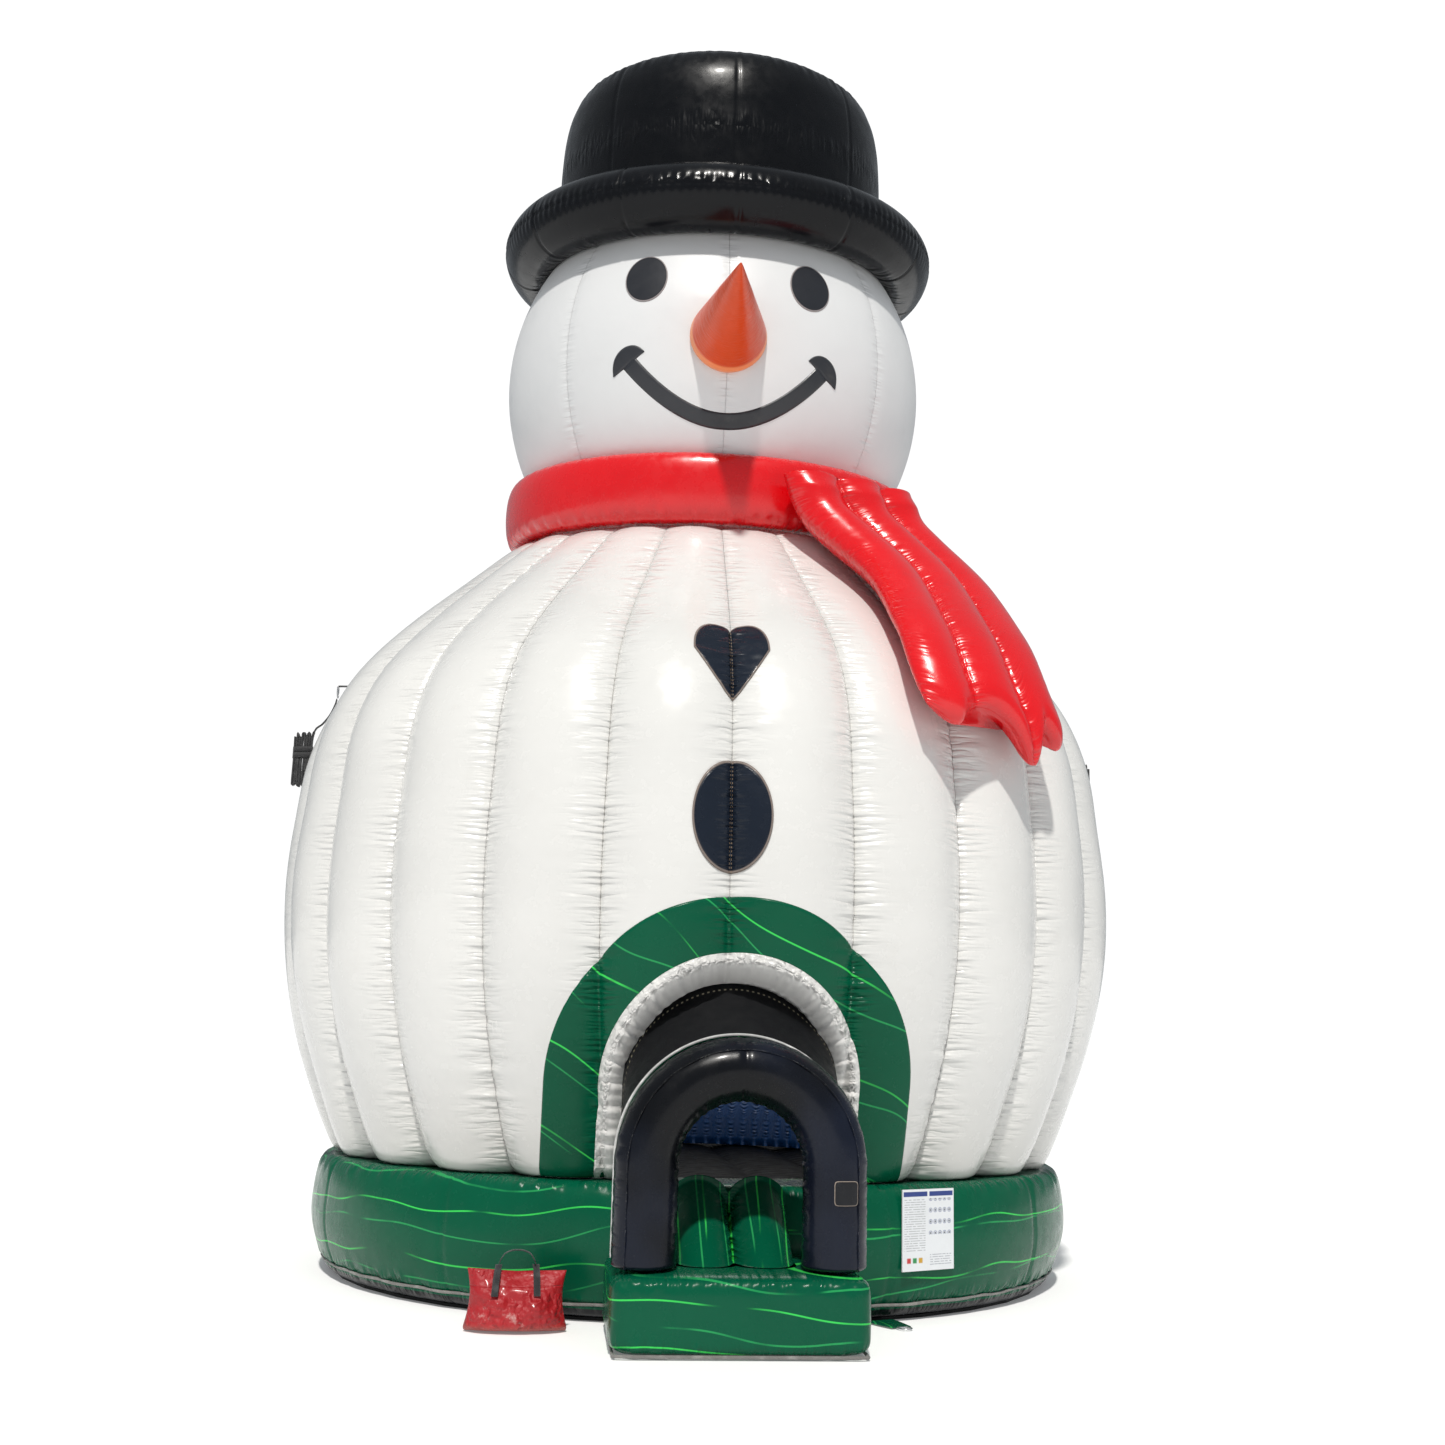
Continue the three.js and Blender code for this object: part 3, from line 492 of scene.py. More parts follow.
def around(angle, radius, height):
    """Points at an angle from the front, a radius and a height."""
    return join(radius * np.sin(angle), -radius * np.cos(angle), height + 0 * radius)


wall_fine = curve_through(wall_line, 2001)
wall_slope = np.gradient(wall_fine, axis=0)
wall_slope /= np.linalg.norm(wall_slope, axis=1)[:, None]
wall_length = float(np.linalg.norm(np.diff(wall_fine, axis=0), axis=1).sum())


def along_line(line, at):
    """The line's two coordinates at a running count of its points."""
    return (np.interp(at, np.arange(len(line)), line[:, i]) for i in (0, 1))


def wall_skin(angle, share, lift=0.0):
    """The gores' outer face at an angle and a share of the way up. Across a gore the face drops
    from its crown by a share of the radius that grows as the square of the distance, more so at
    both hems. Beside the seams rows of small folds run across, in three lengths of wave."""
    radius, height = along_line(wall_fine, share * 2000)
    slope_r, slope_z = along_line(wall_slope, share * 2000)
    turn = (angle - gore_turn) / gore_angle
    gore = np.floor(turn + 1e-9)
    across = np.clip(2 * (turn - gore) - 1, -1, 1)
    hems = np.exp(-share / 0.02) + np.exp(-(1 - share) / 0.02)
    drop = radius * swell_share * np.abs(across) ** 2.2 * (1 + 0.5 * hems)
    seam = np.round(turn)
    along = share * wall_length
    near = bump(1 - np.abs(across), 0.34, 1.3)
    phase = 7.3 * seam
    folds = (0.45 * np.sin(along * 46 + phase) + 0.35 * np.sin(along * 73 + 1.7 * phase)
             + 0.3 * np.sin(along * 29 + 2.9 * phase + 1.3 * np.sin(along * 5 + phase)))
    patch = 0.6 + 0.4 * np.sin(along * 2.7 + 3.1 * seam)
    pucker = 0.0080 * near * folds * patch
    crease = 0.010 * bump(1 - np.abs(across), 0.045)
    broad = 0.006 * np.sin(along * 3.3 + 2.1 * gore) * (1 - across ** 2)
    end = 0.03 * (1 - np.sqrt(np.clip(1 - np.clip(1 - share / 0.016, 0, 1) ** 2, 0, 1)))
    top_end = 0.05 * (1 - np.sqrt(np.clip(1 - np.clip(1 - (1 - share) / 0.03, 0, 1) ** 2, 0, 1)))
    out = lift - drop + pucker - crease + broad - end - top_end
    level = smooth_step(share, 0.0, 0.3)
    side_r = 1 + (slope_z - 1) * level
    side_z = -slope_r * level
    size = np.hypot(side_r, side_z)
    return around(angle, radius + side_r / size * out, height
                  + side_z / size * (lift + broad + pucker))


def wall_depth_skin(angle, share):
    """The inner face: the outer one set in by 520 mm at the hem to 330 mm at the top, and
    swelling inwards between the seams."""
    radius, height = along_line(wall_fine, share * 2000)
    slope_r, slope_z = along_line(wall_slope, share * 2000)
    level = smooth_step(share, 0.0, 0.3)
    side_r = 1 + (slope_z - 1) * level
    side_z = -slope_r * level
    size = np.hypot(side_r, side_z)
    turn = (angle - gore_turn) / gore_angle
    across = 2 * (turn - np.floor(turn)) - 1
    set_in = 0.520 + (0.330 - 0.520) * share
    swell = 0.045 * (1 - across ** 2)
    return around(angle, radius - side_r / size * set_in - swell, height - side_z / size * set_in)


def vinyl(name, colour, rough=0.3, coat=0.25, dirt=(0.35, 0.30, 0.24), dirt_share=0.12,
          mottle=0.06):
    """Coated cloth: a satin gloss that varies in broad patches, faint handling marks, a slow
    unevenness of the stretched cloth and the fine print of its base weave."""
    look = Finish(name, colour, rough, coat=coat)
    place = look.place
    broad = look.noise(place, 1.1, 4, 0.55)
    fine = look.noise(place, 9.0, 5, 0.6)
    marks = look.noise(place, 3.5, 6, 0.7)
    darker = tuple(c * (1 - mottle * 2) for c in colour)
    base = look.blend(look.step(broad, 0.3, 0.7), colour, darker)
    stain = look.times(look.step(marks, 0.56, 0.80), dirt_share)
    base = look.blend(stain, base, dirt)
    look.set("Base Color", base)
    look.set("Roughness", look.step(fine, 0.25, 0.75, rough - 0.07, rough + 0.10))
    look.relief(broad, 0.035, 0.5)
    look.relief(look.noise(place, 420, 2), 0.0006, 0.5)
    look.base = base
    return look


def gathers(look, along, distance, reach, height=0.010, pitch=13.0, seed=0.0):
    """Short folds that run straight away from a seam: a noise stretched across it, strongest at
    the seam and gone at reach, whose length a slower noise varies. Distances are in metres."""
    slow = look.noise(look.point(look.times(along, pitch * 0.3), seed + 3.0), 1.0, 1)
    near = look.step(look.sum("DIVIDE", distance, look.step(slow, 0.3, 0.7, reach * 0.5,
                                                            reach * 1.2)), 0.0, 1.0, 1.0, 0.0)
    side = look.sum("MULTIPLY_ADD", distance, 2.2, seed)
    fold = look.noise(look.point(look.times(along, pitch), side), 1.0, 2, 0.5)
    sharp = look.off(fold, 0.5)
    look.relief(look.times(look.times(near, near), sharp), height * 4)
    return near


def stitched(look, along, distance, colour, width=0.004, shade=0.6):
    """A seam: a narrow sunk line with the dashes of its stitches beside it."""
    line = look.step(distance, width * 0.5, width * 1.5, 1.0, 0.0)
    row = look.step(look.off(distance, width * 3.5), width * 0.3, width * 0.8, 1.0, 0.0)
    dash = look.step(look.sum("SINE", look.times(along, 700.0)), -0.2, 0.3)
    look.paint(look.times(line, shade), colour)
    look.paint(look.times(look.times(row, dash), shade * 0.6), colour)
    look.relief(line, -0.004)


gore_width = 0.78
white_gore = vinyl("white_gore_vinyl", (0.74, 0.735, 0.715), 0.22, 0.30, dirt_share=0.08,
                   mottle=0.02)
u, v, _ = white_gore.parts(white_gore.map)
from_seam = white_gore.times(white_gore.sum("PINGPONG", u, 0.5), gore_width)
gathers(white_gore, v, from_seam, 0.36, 0.016, 13.0)
stitched(white_gore, v, from_seam, (0.50, 0.48, 0.46), 0.0025, 0.25)
low_dust = white_gore.step(white_gore.parts(white_gore.place)[2], 0.8, 1.5, 0.22, 0.0)
white_gore.paint(low_dust, (0.48, 0.45, 0.40))

gore_columns = 44
gore_rows = 220


def wall_chamber(index):
    """One pair of gores as a closed loop of columns: the outer face from left to right, then the
    inner face back again; the rows run up the wall."""
    width = 2 * gore_angle
    slack = 0.0012
    cells = np.linspace(-1, 1, 2 * gore_columns + 1)
    cells = np.sign(cells) * (0.5 - 0.5 * np.cos(np.pi * np.abs(cells)))
    outer = gore_turn + width * index + cells * (width / 2 - slack)
    inner = gore_turn + np.linspace(width * (index + 0.5) - slack, width * (index - 0.5) + slack,
                                    18)
    share = np.concatenate([np.linspace(0, 0.03, 12)[:-1], np.linspace(0.03, 0.955, gore_rows),
                            np.linspace(0.955, 1, 12)[1:]])
    a, s = np.meshgrid(outer, share)
    b, t = np.meshgrid(inner, share)
    return np.concatenate([lean(wall_skin(a, s)), lean(wall_depth_skin(b, t))], 1), outer, share


def gore_map(mesh, columns, rows, outer, share):
    """Lays the map: gore count across, so that whole numbers are seams, and metres up."""
    laid = mesh.uv_layers["laid"]
    where = np.zeros(len(mesh.loops) * 2, np.float32)
    laid.data.foreach_get("uv", where)
    where = where.reshape(-1, 2)
    column = np.clip(where[:, 0], 0, columns)
    count = np.concatenate([outer, np.linspace(outer[-1], outer[0], columns - len(outer) + 1)])
    count = (count - gore_turn) / gore_angle
    where[:, 0] = np.interp(column, np.arange(len(count)), count)
    where[:, 1] = np.interp(where[:, 1], np.arange(rows), share * wall_length)
    laid.data.foreach_set("uv", where.ravel())


def prism(half, centre, bottom, front, back):
    """A solid arch block to cut with: two straight legs and a half circle, from front to back."""
    bow = np.linspace(np.pi, 0, 65)
    x = np.concatenate([[-half], half * np.cos(bow), [half]])
    z = np.concatenate([[bottom], centre + half * np.sin(bow), [bottom]])
    rows = [join(x, y, z) for y in (front, back)]
    return np.stack(rows)


def cut(piece, block):
    """Takes the block's shape out of the piece and keeps the result as a plain mesh."""
    rows, columns = block.shape[:2]
    faces, _ = grid_faces(rows, columns, False)
    mesh = bpy.data.meshes.new("cutter")
    ends = [tuple(range(columns)), tuple(range(rows * columns - 1, (rows - 1) * columns - 1, -1))]
    mesh.from_pydata(block.reshape(-1, 3).tolist(), [], faces.tolist() + ends)
    turned = bmesh.new()
    turned.from_mesh(mesh)
    bmesh.ops.recalc_face_normals(turned, faces=turned.faces)
    turned.to_mesh(mesh)
    turned.free()
    cutter = bpy.data.objects.new("cutter", mesh)
    scene.collection.objects.link(cutter)
    away = piece.modifiers.new("opening", "BOOLEAN")
    away.operation = "DIFFERENCE"
    away.solver = "EXACT"
    away.object = cutter
    seen = piece.evaluated_get(bpy.context.evaluated_depsgraph_get())
    result = bpy.data.meshes.new_from_object(seen)
    piece.modifiers.remove(away)
    piece.data = result
    bpy.data.objects.remove(cutter)


door_centre = 1.350
door_opening = prism(0.7405, door_centre, 0.5, -3.5, -1.4)
window_opening = prism(0.4305, 1.500, 1.0, 1.4, 3.5)
for index in range(12):
    grid, outer, share = wall_chamber(index)
    panel = skin(f"gore_pair_{index + 1:02d}", grid, white_gore,
                 (f"wall_panel_{index + 1:02d}",), measure=(grid.shape[1], grid.shape[0] - 1))
    gore_map(panel.data, grid.shape[1], grid.shape[0], outer, share)
    if index in (0, 1, 11):
        cut(panel, door_opening)
    if index == 6:
        cut(panel, window_opening)

# --------------------------------------------------------------------------------------------
# Ground sheet, base wall and bounce floor: the figure stands on a black sheet. Round it runs an
# inflated wall of dark green vinyl printed with thin bright lines, bound at its foot, and inside
# it lies a bed of black air cells under the bouncing floor.
# --------------------------------------------------------------------------------------------
def coated_black(name, rough=0.3, coat=0.3):
    look = vinyl(name, (0.0035, 0.004, 0.0055), rough, coat * 0.25, dirt=(0.016, 0.015, 0.014),
                 dirt_share=0.3, mottle=0.1)
    look.set("Specular IOR Level", 0.16)
    return look


def lathe_grid(profile, turns, count, closed=True):
    """A profile (radius, height) turned round the upright axis: one column for each angle, one
    row for each profile point."""
    angle = circle(turns)
    profile = np.asarray(profile, float)
    if count:
        profile = curve_through(np.vstack([profile, profile[:1]]) if closed else profile, count)
        profile = profile[:-1] if closed else profile
    profile[:, 0] = np.maximum(profile[:, 0], 0.002)
    a, r = np.meshgrid(angle, profile[:, 0])
    _, h = np.meshgrid(angle, profile[:, 1])
    return around(a, r, h)


black_sheet = coated_black("ground_sheet_vinyl", 0.5, 0.0)
black_sheet.relief(black_sheet.noise(black_sheet.place, 2.2, 5), 0.05, 0.6)


def dress(look, *nodes):
    """Gives a material to pieces that keep their plain shape."""
    for node in nodes:
        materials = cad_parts[node].data.materials
        materials.clear()
        materials.append(look.material)


dress(black_sheet, "ground_sheet")
dress(white_gore, "neck_collar")


def lined_green(name, across, gap, trim_height=None, seed=0.0, swing=0.35):
    """Green vinyl printed with long wandering bright lines about gap metres apart: across is the
    share of x, y, z (or of the map's u) that climbs from line to line. A slow noise bends them."""
    look = vinyl(name, (0.0008, 0.092, 0.044), 0.22, 0.05, dirt=(0.03, 0.10, 0.065),
                 dirt_share=0.12)
    look.set("Specular IOR Level", 0.14)
    x, y, z = look.parts(look.place)
    u, v, _ = look.parts(look.map)
    climb = 0.0
    for value, share in zip((x, y, z, u), across):
        if share:
            climb = look.sum("MULTIPLY_ADD", value, share / gap, climb)
    for shift, bright in ((0.0, (0.045, 0.62, 0.10)), (5.3, (0.02, 0.30, 0.09))):
        bend = look.noise(look.point(look.sum("MULTIPLY_ADD", x, 0.9, shift + seed),
                                     look.times(y, 0.9), look.sum("MULTIPLY_ADD", z, 0.5, shift)),
                          1.0, 1)
        level = look.sum("ADD", climb, look.sum("MULTIPLY_ADD", bend, swing / gap, shift))
        off = look.off(look.sum("FRACT", level), 0.5)
        thin = 0.0045 / gap
        line = look.step(off, thin * 0.7, thin * 1.3, 1.0, 0.0)
        wear = look.step(look.noise(look.place, 1.7 + shift * 0.1, 2), 0.38, 0.55)
        look.paint(look.times(line, wear), bright)
    if trim_height is not None:
        below = look.step(z, trim_height - 0.004, trim_height + 0.004, 1.0, 0.0)
        look.paint(below, (0.012, 0.013, 0.015))
    return look


green_base = lined_green("green_base_vinyl", (0.0, 0.0, 1.0, 0.0), 0.30, trim_height=0.075)
u, v, _ = green_base.parts(green_base.map)
x, y, z = green_base.parts(green_base.place)
for hem, reach in ((0.10, 0.14), (0.79, 0.12)):
    gathers(green_base, u, green_base.off(z, hem), reach, 0.024, 9.0)

base_profile = [(2.52, 0.021), (2.575, 0.04), (2.615, 0.105), (2.655, 0.20), (2.690, 0.32),
                (2.702, 0.43), (2.697, 0.55), (2.684, 0.66), (2.660, 0.74), (2.610, 0.786),
                (2.540, 0.790), (2.35, 0.789), (2.20, 0.789), (2.152, 0.775), (2.152, 0.60),
                (2.152, 0.40), (2.152, 0.20), (2.152, 0.04), (2.20, 0.022), (2.35, 0.021)]
base_grid = lathe_grid(base_profile, 720, 190)
angle = np.arctan2(base_grid[..., 0], -base_grid[..., 1])
radius = np.hypot(base_grid[..., 0], base_grid[..., 1])
height = base_grid[..., 2]
face = smooth_step(radius, 2.45, 2.6)
hem_low, hem_top = bump(height - 0.10, 0.07), bump(height - 0.77, 0.06)
ruffle = (0.0045 * np.sin(angle * 71 + 2 * np.sin(angle * 5))
          + 0.003 * np.sin(angle * 113 + 1.3)) * (hem_low + hem_top)
panel_seams = 0.012 * bump(np.abs((angle / (np.pi / 6) + 0.27) % 1 - 0.5) - 0.5, 0.012)
radius = radius + face * (ruffle - panel_seams + 0.004 * np.sin(angle * 9 + height * 6)
                          - 0.012 * bump(height - 0.105, 0.012))
base_grid = around(angle, radius, height)
skin("base_ring", base_grid, green_base, ("base_wall",), measure=(16.9, 5.0),
     ring=True)

binding = woven("edge_binding", (0.20, 0.19, 0.18), 400)
turn = circle(480)
hem_line = around(turn, 2.612 + 0.002 * np.sin(turn * 71), 0.100 + 0.003 * np.sin(turn * 39))
skin("base_binding", wire(hem_line, (0, 0, 1), 0.009, 10), binding, measure=(0.06, 16.4),
     ring=True)

floor_black = coated_black("bounce_floor_vinyl", 0.50, 0.0)
floor_black.set("Specular IOR Level", 0.03)
disc_turn = circle(360)
reach = np.concatenate([np.linspace(0.002, 2.12, 150), [2.135, 2.146, 2.149],
                        np.linspace(2.149, 2.149, 3), np.linspace(2.12, 0.01, 6)])
a, r = np.meshgrid(disc_turn, reach)
cell = 4.298 / 9
valley = np.abs((r * np.sin(a) / cell + 0.5) % 1 - 0.5) * 2
ripple = 0.002 * np.sin(-r * np.cos(a) * 40 + 3 * np.floor(r * np.sin(a) / cell))
top = 0.748 + 0.045 * np.sqrt(np.clip(1 - valley ** 2 * 0.92, 0, 1)) + ripple
low = np.array([0.0] * 150 + [0.012, 0.03, 0.06, 0.2, 0.5, 0.72] + [0.75] * 6)[:, None]
bed = np.where(low > 0.7, 0.022, top - low)
skin("bounce_bed", around(a, r, bed), floor_black, ("bounce_floor",),
     measure=(13.5, 5.0))

# --------------------------------------------------------------------------------------------
# Head: a ball of eight gores of white satin vinyl, open at the neck, where it takes its air. A
# line of short gathers runs down each meridian seam.
# --------------------------------------------------------------------------------------------
head_radius = 1.610
head_centre = 6.590
head_gore = 2 * math.pi / 8
face_turn = math.radians(-1.4)


def head_skin(turn, rise, lift=0.0):
    """The ball's outer face, drawn in by 11 mm at each seam and by small folds beside it."""
    off = np.abs(((turn - face_turn) / head_gore + 0.5) % 1
                 - 0.5) * head_gore * head_radius * np.cos(rise)
    folds = np.sin(rise * head_radius * 61) + 0.7 * np.sin(rise * head_radius * 97 + 1.1)
    r = head_radius + lift - 0.011 * bump(off, 0.05, 1.2) + 0.0016 * folds * bump(off, 0.07)
    return lean(around(turn, r * np.cos(rise), head_centre + r * np.sin(rise)))


white_head = vinyl("white_head_vinyl", (0.72, 0.725, 0.73), 0.40, 0.10, dirt_share=0.06,
                   mottle=0.015)
u, v, _ = white_head.parts(white_head.map)
off_seam = white_head.times(white_head.sum("PINGPONG", u, 0.5), 1.1)
gathers(white_head, v, off_seam, 0.14, 0.006, 16.0)
stitched(white_head, v, off_seam, (0.5, 0.48, 0.47), 0.002, 0.22)

turns = face_turn + circle(480)
neck_rise = -math.acos(1.062 / head_radius)
rises = np.linspace(math.pi / 2 - 0.001, neck_rise, 190)
a, s = np.meshgrid(turns, rises)
outer_ball = head_skin(a, s)
inner_rises = np.linspace(neck_rise, math.pi / 2 - 0.02, 24)
a2, s2 = np.meshgrid(turns, inner_rises)
inner_ball = head_skin(a2, s2, -0.02)
skin("head_ball", np.concatenate([outer_ball, inner_ball]), white_head, ("head",),
     measure=(8.0, 5.2))

# --------------------------------------------------------------------------------------------
# Face: eyes and smile are flat patches of charcoal vinyl welded on, with a thin pale edge. The
# nose is a firm orange cone of its own, sewn on along its rim.
# --------------------------------------------------------------------------------------------
def patch_look(name, colour, edge, gloss=0.4, coat=0.1):
    look = vinyl(name, colour, gloss, coat * 0.3, dirt=(0.06, 0.06, 0.07), dirt_share=0.15)
    look.set("Specular IOR Level", 0.22)
    u, v, _ = look.parts(look.map)
    rim = look.step(v, 0.935, 0.96)
    look.paint(rim, edge)
    look.relief(look.step(look.off(v, 0.94), 0.0, 0.03, 1.0, 0.0), -0.003)
    return look


def applique(outline, middle, place, lift):
    """A patch on a curved face: rows run from its middle to its outline, over the welded edge and
    back beneath. outline is (points, 2), middle its centre, and place(x, y, lift) the face."""
    share = np.concatenate([np.linspace(0.004, 1, 26), [1.0, 0.9, 0.004]])
    rise = np.concatenate([np.full(25, lift), [lift * 0.6, -0.004, -0.006, -0.006]])
    flat = middle + share[:, None, None] * (outline - middle)[None]
    return place(flat[..., 0], flat[..., 1], np.broadcast_to(rise[:, None], flat.shape[:2]))


charcoal = patch_look("charcoal_patch", (0.022, 0.024, 0.030), (0.30, 0.27, 0.27))
round_turn = circle(120)
for side, word in ((-1, "left"), (1, "right")):
    tilt = side * 0.18
    x, y = 0.158 * np.cos(round_turn), 0.196 * np.sin(round_turn)
    x, y = x * math.cos(tilt) + y * math.sin(tilt), -x * math.sin(tilt) + y * math.cos(tilt)
    outline = join(face_turn + side * math.radians(22.4)
                   + x / (head_radius * math.cos(math.radians(17.4))),
                   math.radians(17.4) + y / head_radius)
    middle = outline.mean(0)
    skin(f"eye_patch_{word}", applique(outline, middle, head_skin, 0.006), charcoal,
         (f"eye_{word}",), measure=(1.0, 1.115))


def smile_stroke(line, half):
    """A stroke of changing half width along a line, laid on the head as a closed band."""
    tangent = np.gradient(line, axis=0)
    tangent /= np.linalg.norm(tangent, axis=1)[:, None]
    normal = join(-tangent[:, 1], tangent[:, 0])
    share = np.concatenate([np.linspace(-1, 1, 9), np.linspace(1, -1, 3)])
    lift = np.array([0.0] + [0.006] * 7 + [0.0, -0.006, -0.006, -0.006])
    flat = line[:, None] + (half[:, None] * share[None])[..., None] * normal[:, None]
    return head_skin(flat[..., 0], flat[..., 1], np.broadcast_to(lift[None], flat.shape[:2]))


charcoal_plain = vinyl("charcoal_smile", (0.022, 0.024, 0.030), 0.42, 0.1, dirt_share=0.1)
s = np.linspace(-1, 1, 90)
smile = join(face_turn + s * math.radians(25.2), math.radians(-5.4)
             - math.radians(14.6) * (1 - s ** 2))
strokes = [smile_stroke(smile, np.full(90, 0.060 / head_radius))]
for side in (-1, 1):
    t = np.linspace(-1, 1, 40)
    cap_turn = face_turn + side * (math.radians(25.4) + 0.012 * (1 - t ** 2) - 0.074 * t)
    cap_rise = math.radians(-5.2) + 0.034 * (1 - t ** 2) + 0.050 * t - 0.008
    strokes.append(smile_stroke(join(cap_turn, cap_rise), 0.040 * (1 - np.abs(t) ** 2.2) + 0.0015))
skin("smile", strokes, charcoal_plain, ("mouth",), measure=(0.12, 1.5))

orange = vinyl("orange_nose_vinyl", (0.66, 0.062, 0.003), 0.36, 0.20, dirt=(0.33, 0.03, 0.004),
               dirt_share=0.3, mottle=0.08)
x, y, z = orange.parts(orange.place)
orange.paint(orange.step(y, -1.905, -1.875), (0.85, 0.26, 0.09))
orange.relief(orange.noise(orange.point(x, orange.times(y, 6.0), z), 9, 3), 0.006)
nose_profile = [(0.02, -0.10), (0.20, -0.10), (0.266, 0.0), (0.264, 0.05), (0.236, 0.16),
                (0.198, 0.30), (0.160, 0.44), (0.118, 0.60), (0.076, 0.75), (0.038, 0.89),
                (0.014, 0.975), (0.004, 1.0)]
nose_grid = lathe_grid(nose_profile, 96, 90, closed=False)
tip_turn = math.radians(90 - 9.3)
nx, ny, nz = nose_grid[..., 0], nose_grid[..., 1], nose_grid[..., 2]
seam_pull = 1 - 0.02 * bump(np.arctan2(nx, ny), 0.05)
nx, ny = nx * seam_pull, ny * seam_pull
out_y = ny * math.cos(tip_turn) - nz * math.sin(tip_turn) - 1.590
nose_grid = join(nx * math.cos(face_turn) - out_y * math.sin(face_turn),
                 nx * math.sin(face_turn) + out_y * math.cos(face_turn),
                 ny * math.sin(tip_turn) + nz * math.cos(tip_turn) + 6.620)
skin("nose_cone", lean(nose_grid), orange, ("nose",), measure=(1.2, 1.2))

# --------------------------------------------------------------------------------------------
# Hat: an inflated ring brim and a drum crown of glossy black vinyl. The brim gathers in fans of
# small folds where it meets the crown, and the crown along the seam of its rounded top.
# --------------------------------------------------------------------------------------------
black_brim = coated_black("black_brim_vinyl", 0.20, 0.5)
u, v, _ = black_brim.parts(black_brim.map)
for seam_at, reach in ((0.98, 0.20), (0.42, 0.12), (0.0, 0.10)):
    gathers(black_brim, u, black_brim.off(v, seam_at), reach, 0.026, 8.0, seam_at)
turn = circle(720)
tube = circle(96)
a, t = np.meshgrid(turn, tube)
inner_top = bump((t - 1.75) % (2 * np.pi), 0.42) + bump((1.75 - t) % (2 * np.pi), 0.42)
outer_edge = bump(np.minimum(t, 2 * np.pi - t), 0.3)
fan = 0.007 * np.sin(a * 83 + 3 * np.sin(a * 4)) + 0.005 * np.sin(a * 131 + 2)
fan = fan + 0.004 * np.sin(a * 47)
rim_seam = 0.006 * bump(np.minimum(t, 2 * np.pi - t), 0.06)
brim_radius = 0.223 + fan * inner_top + 0.004 * np.sin(a * 157) * outer_edge - rim_seam
brim_radius = brim_radius - 0.009 * bump(np.abs((a / (np.pi / 6) + 0.5) % 1 - 0.5), 0.012)
sag = np.where(np.sin(t) < 0, 1.20, 1.0)
brim = around(a, 1.462 + brim_radius * np.cos(t), 7.700 + brim_radius * np.sin(t) * sag)
skin("brim_ring", lean(brim), black_brim, ("hat_brim",), measure=(9.2, 1.40),
     ring=True)

black_crown = coated_black("black_crown_vinyl", 0.27, 0.35)
u, v, _ = black_crown.parts(black_crown.map)
gathers(black_crown, u, black_crown.off(v, 0.80), 0.30, 0.016, 11.0)
crown_line = curve_through([(1.262, 7.800), (1.270, 7.95), (1.275, 8.20), (1.268, 8.42),
                            (1.250, 8.62), (1.210, 8.79), (1.13, 8.93), (1.00, 9.005), (0.82, 9.05),
                            (0.55, 9.078), (0.28, 9.088), (0.003, 9.090)], 150)
turn = circle(480)
a, k = np.meshgrid(turn, np.arange(150))
r, h = crown_line[k, 0], crown_line[k, 1]
shoulder = bump(h - 8.93, 0.07) * (r > 0.6)
seam_dip = 0.012 * bump(h - 8.955, 0.012) * (r > 0.6)
r = r + shoulder * (0.0035 * np.sin(a * 89) + 0.003 * np.sin(a * 61 + 1)) - seam_dip
r = r - 0.007 * bump(np.abs((a / (np.pi / 4) + 0.5) % 1 - 0.5), 0.012) * np.clip(r, 0, 1)
outer_crown = around(a, np.maximum(r, 0.003), h)
inner_crown = around(*np.meshgrid(turn, [1.24, 1.25, 1.24, 1.06, 0.7, 0.01])[:2],
                     np.meshgrid(turn, [7.80, 8.2, 8.60, 8.86, 8.98, 9.04])[1])
skin("crown_drum", lean(np.concatenate([inner_crown[::-1], outer_crown])), black_crown,
     ("hat_crown",), measure=(8.0, 3.2))

lining_line = [(1.085, 7.690), (1.135, 7.640), (1.25, 7.575), (1.33, 7.560), (1.34, 7.59),
               (1.25, 7.61), (1.15, 7.675), (1.10, 7.71)]
skin("hat_lining", lean(lathe_grid(lining_line, 240, 40)), black_brim,
     measure=(8.0, 0.6), ring=True)

# --------------------------------------------------------------------------------------------
# Scarf: an inflated band of red vinyl round the neck, and a tail of three long cells side by
# side that springs from it over the shoulder and ends in three stubby fingers.
# --------------------------------------------------------------------------------------------
red_vinyl = vinyl("red_scarf_vinyl", (0.72, 0.0018, 0.006), 0.25, 0.35, dirt=(0.35, 0.002, 0.008),
                  dirt_share=0.2, mottle=0.05)
u, v, _ = red_vinyl.parts(red_vinyl.map)
gathers(red_vinyl, u, red_vinyl.off(v, 0.62), 0.15, 0.018, 10.0)
scarf_line = [(1.400, 5.800), (1.440, 5.822), (1.505, 5.815), (1.552, 5.775), (1.578, 5.70),
              (1.588, 5.60), (1.586, 5.50), (1.572, 5.41), (1.535, 5.345), (1.47, 5.318),
              (1.36, 5.315), (1.27, 5.322), (1.262, 5.345), (1.38, 5.36), (1.50, 5.40),
              (1.54, 5.50), (1.54, 5.65), (1.50, 5.76), (1.44, 5.785)]
ring = lathe_grid(scarf_line, 600, 120)
angle = np.arctan2(ring[..., 0], -ring[..., 1])
radius = np.hypot(ring[..., 0], ring[..., 1])
hems = bump(ring[..., 2] - 5.34, 0.05) + 0.5 * bump(ring[..., 2] - 5.81, 0.03)
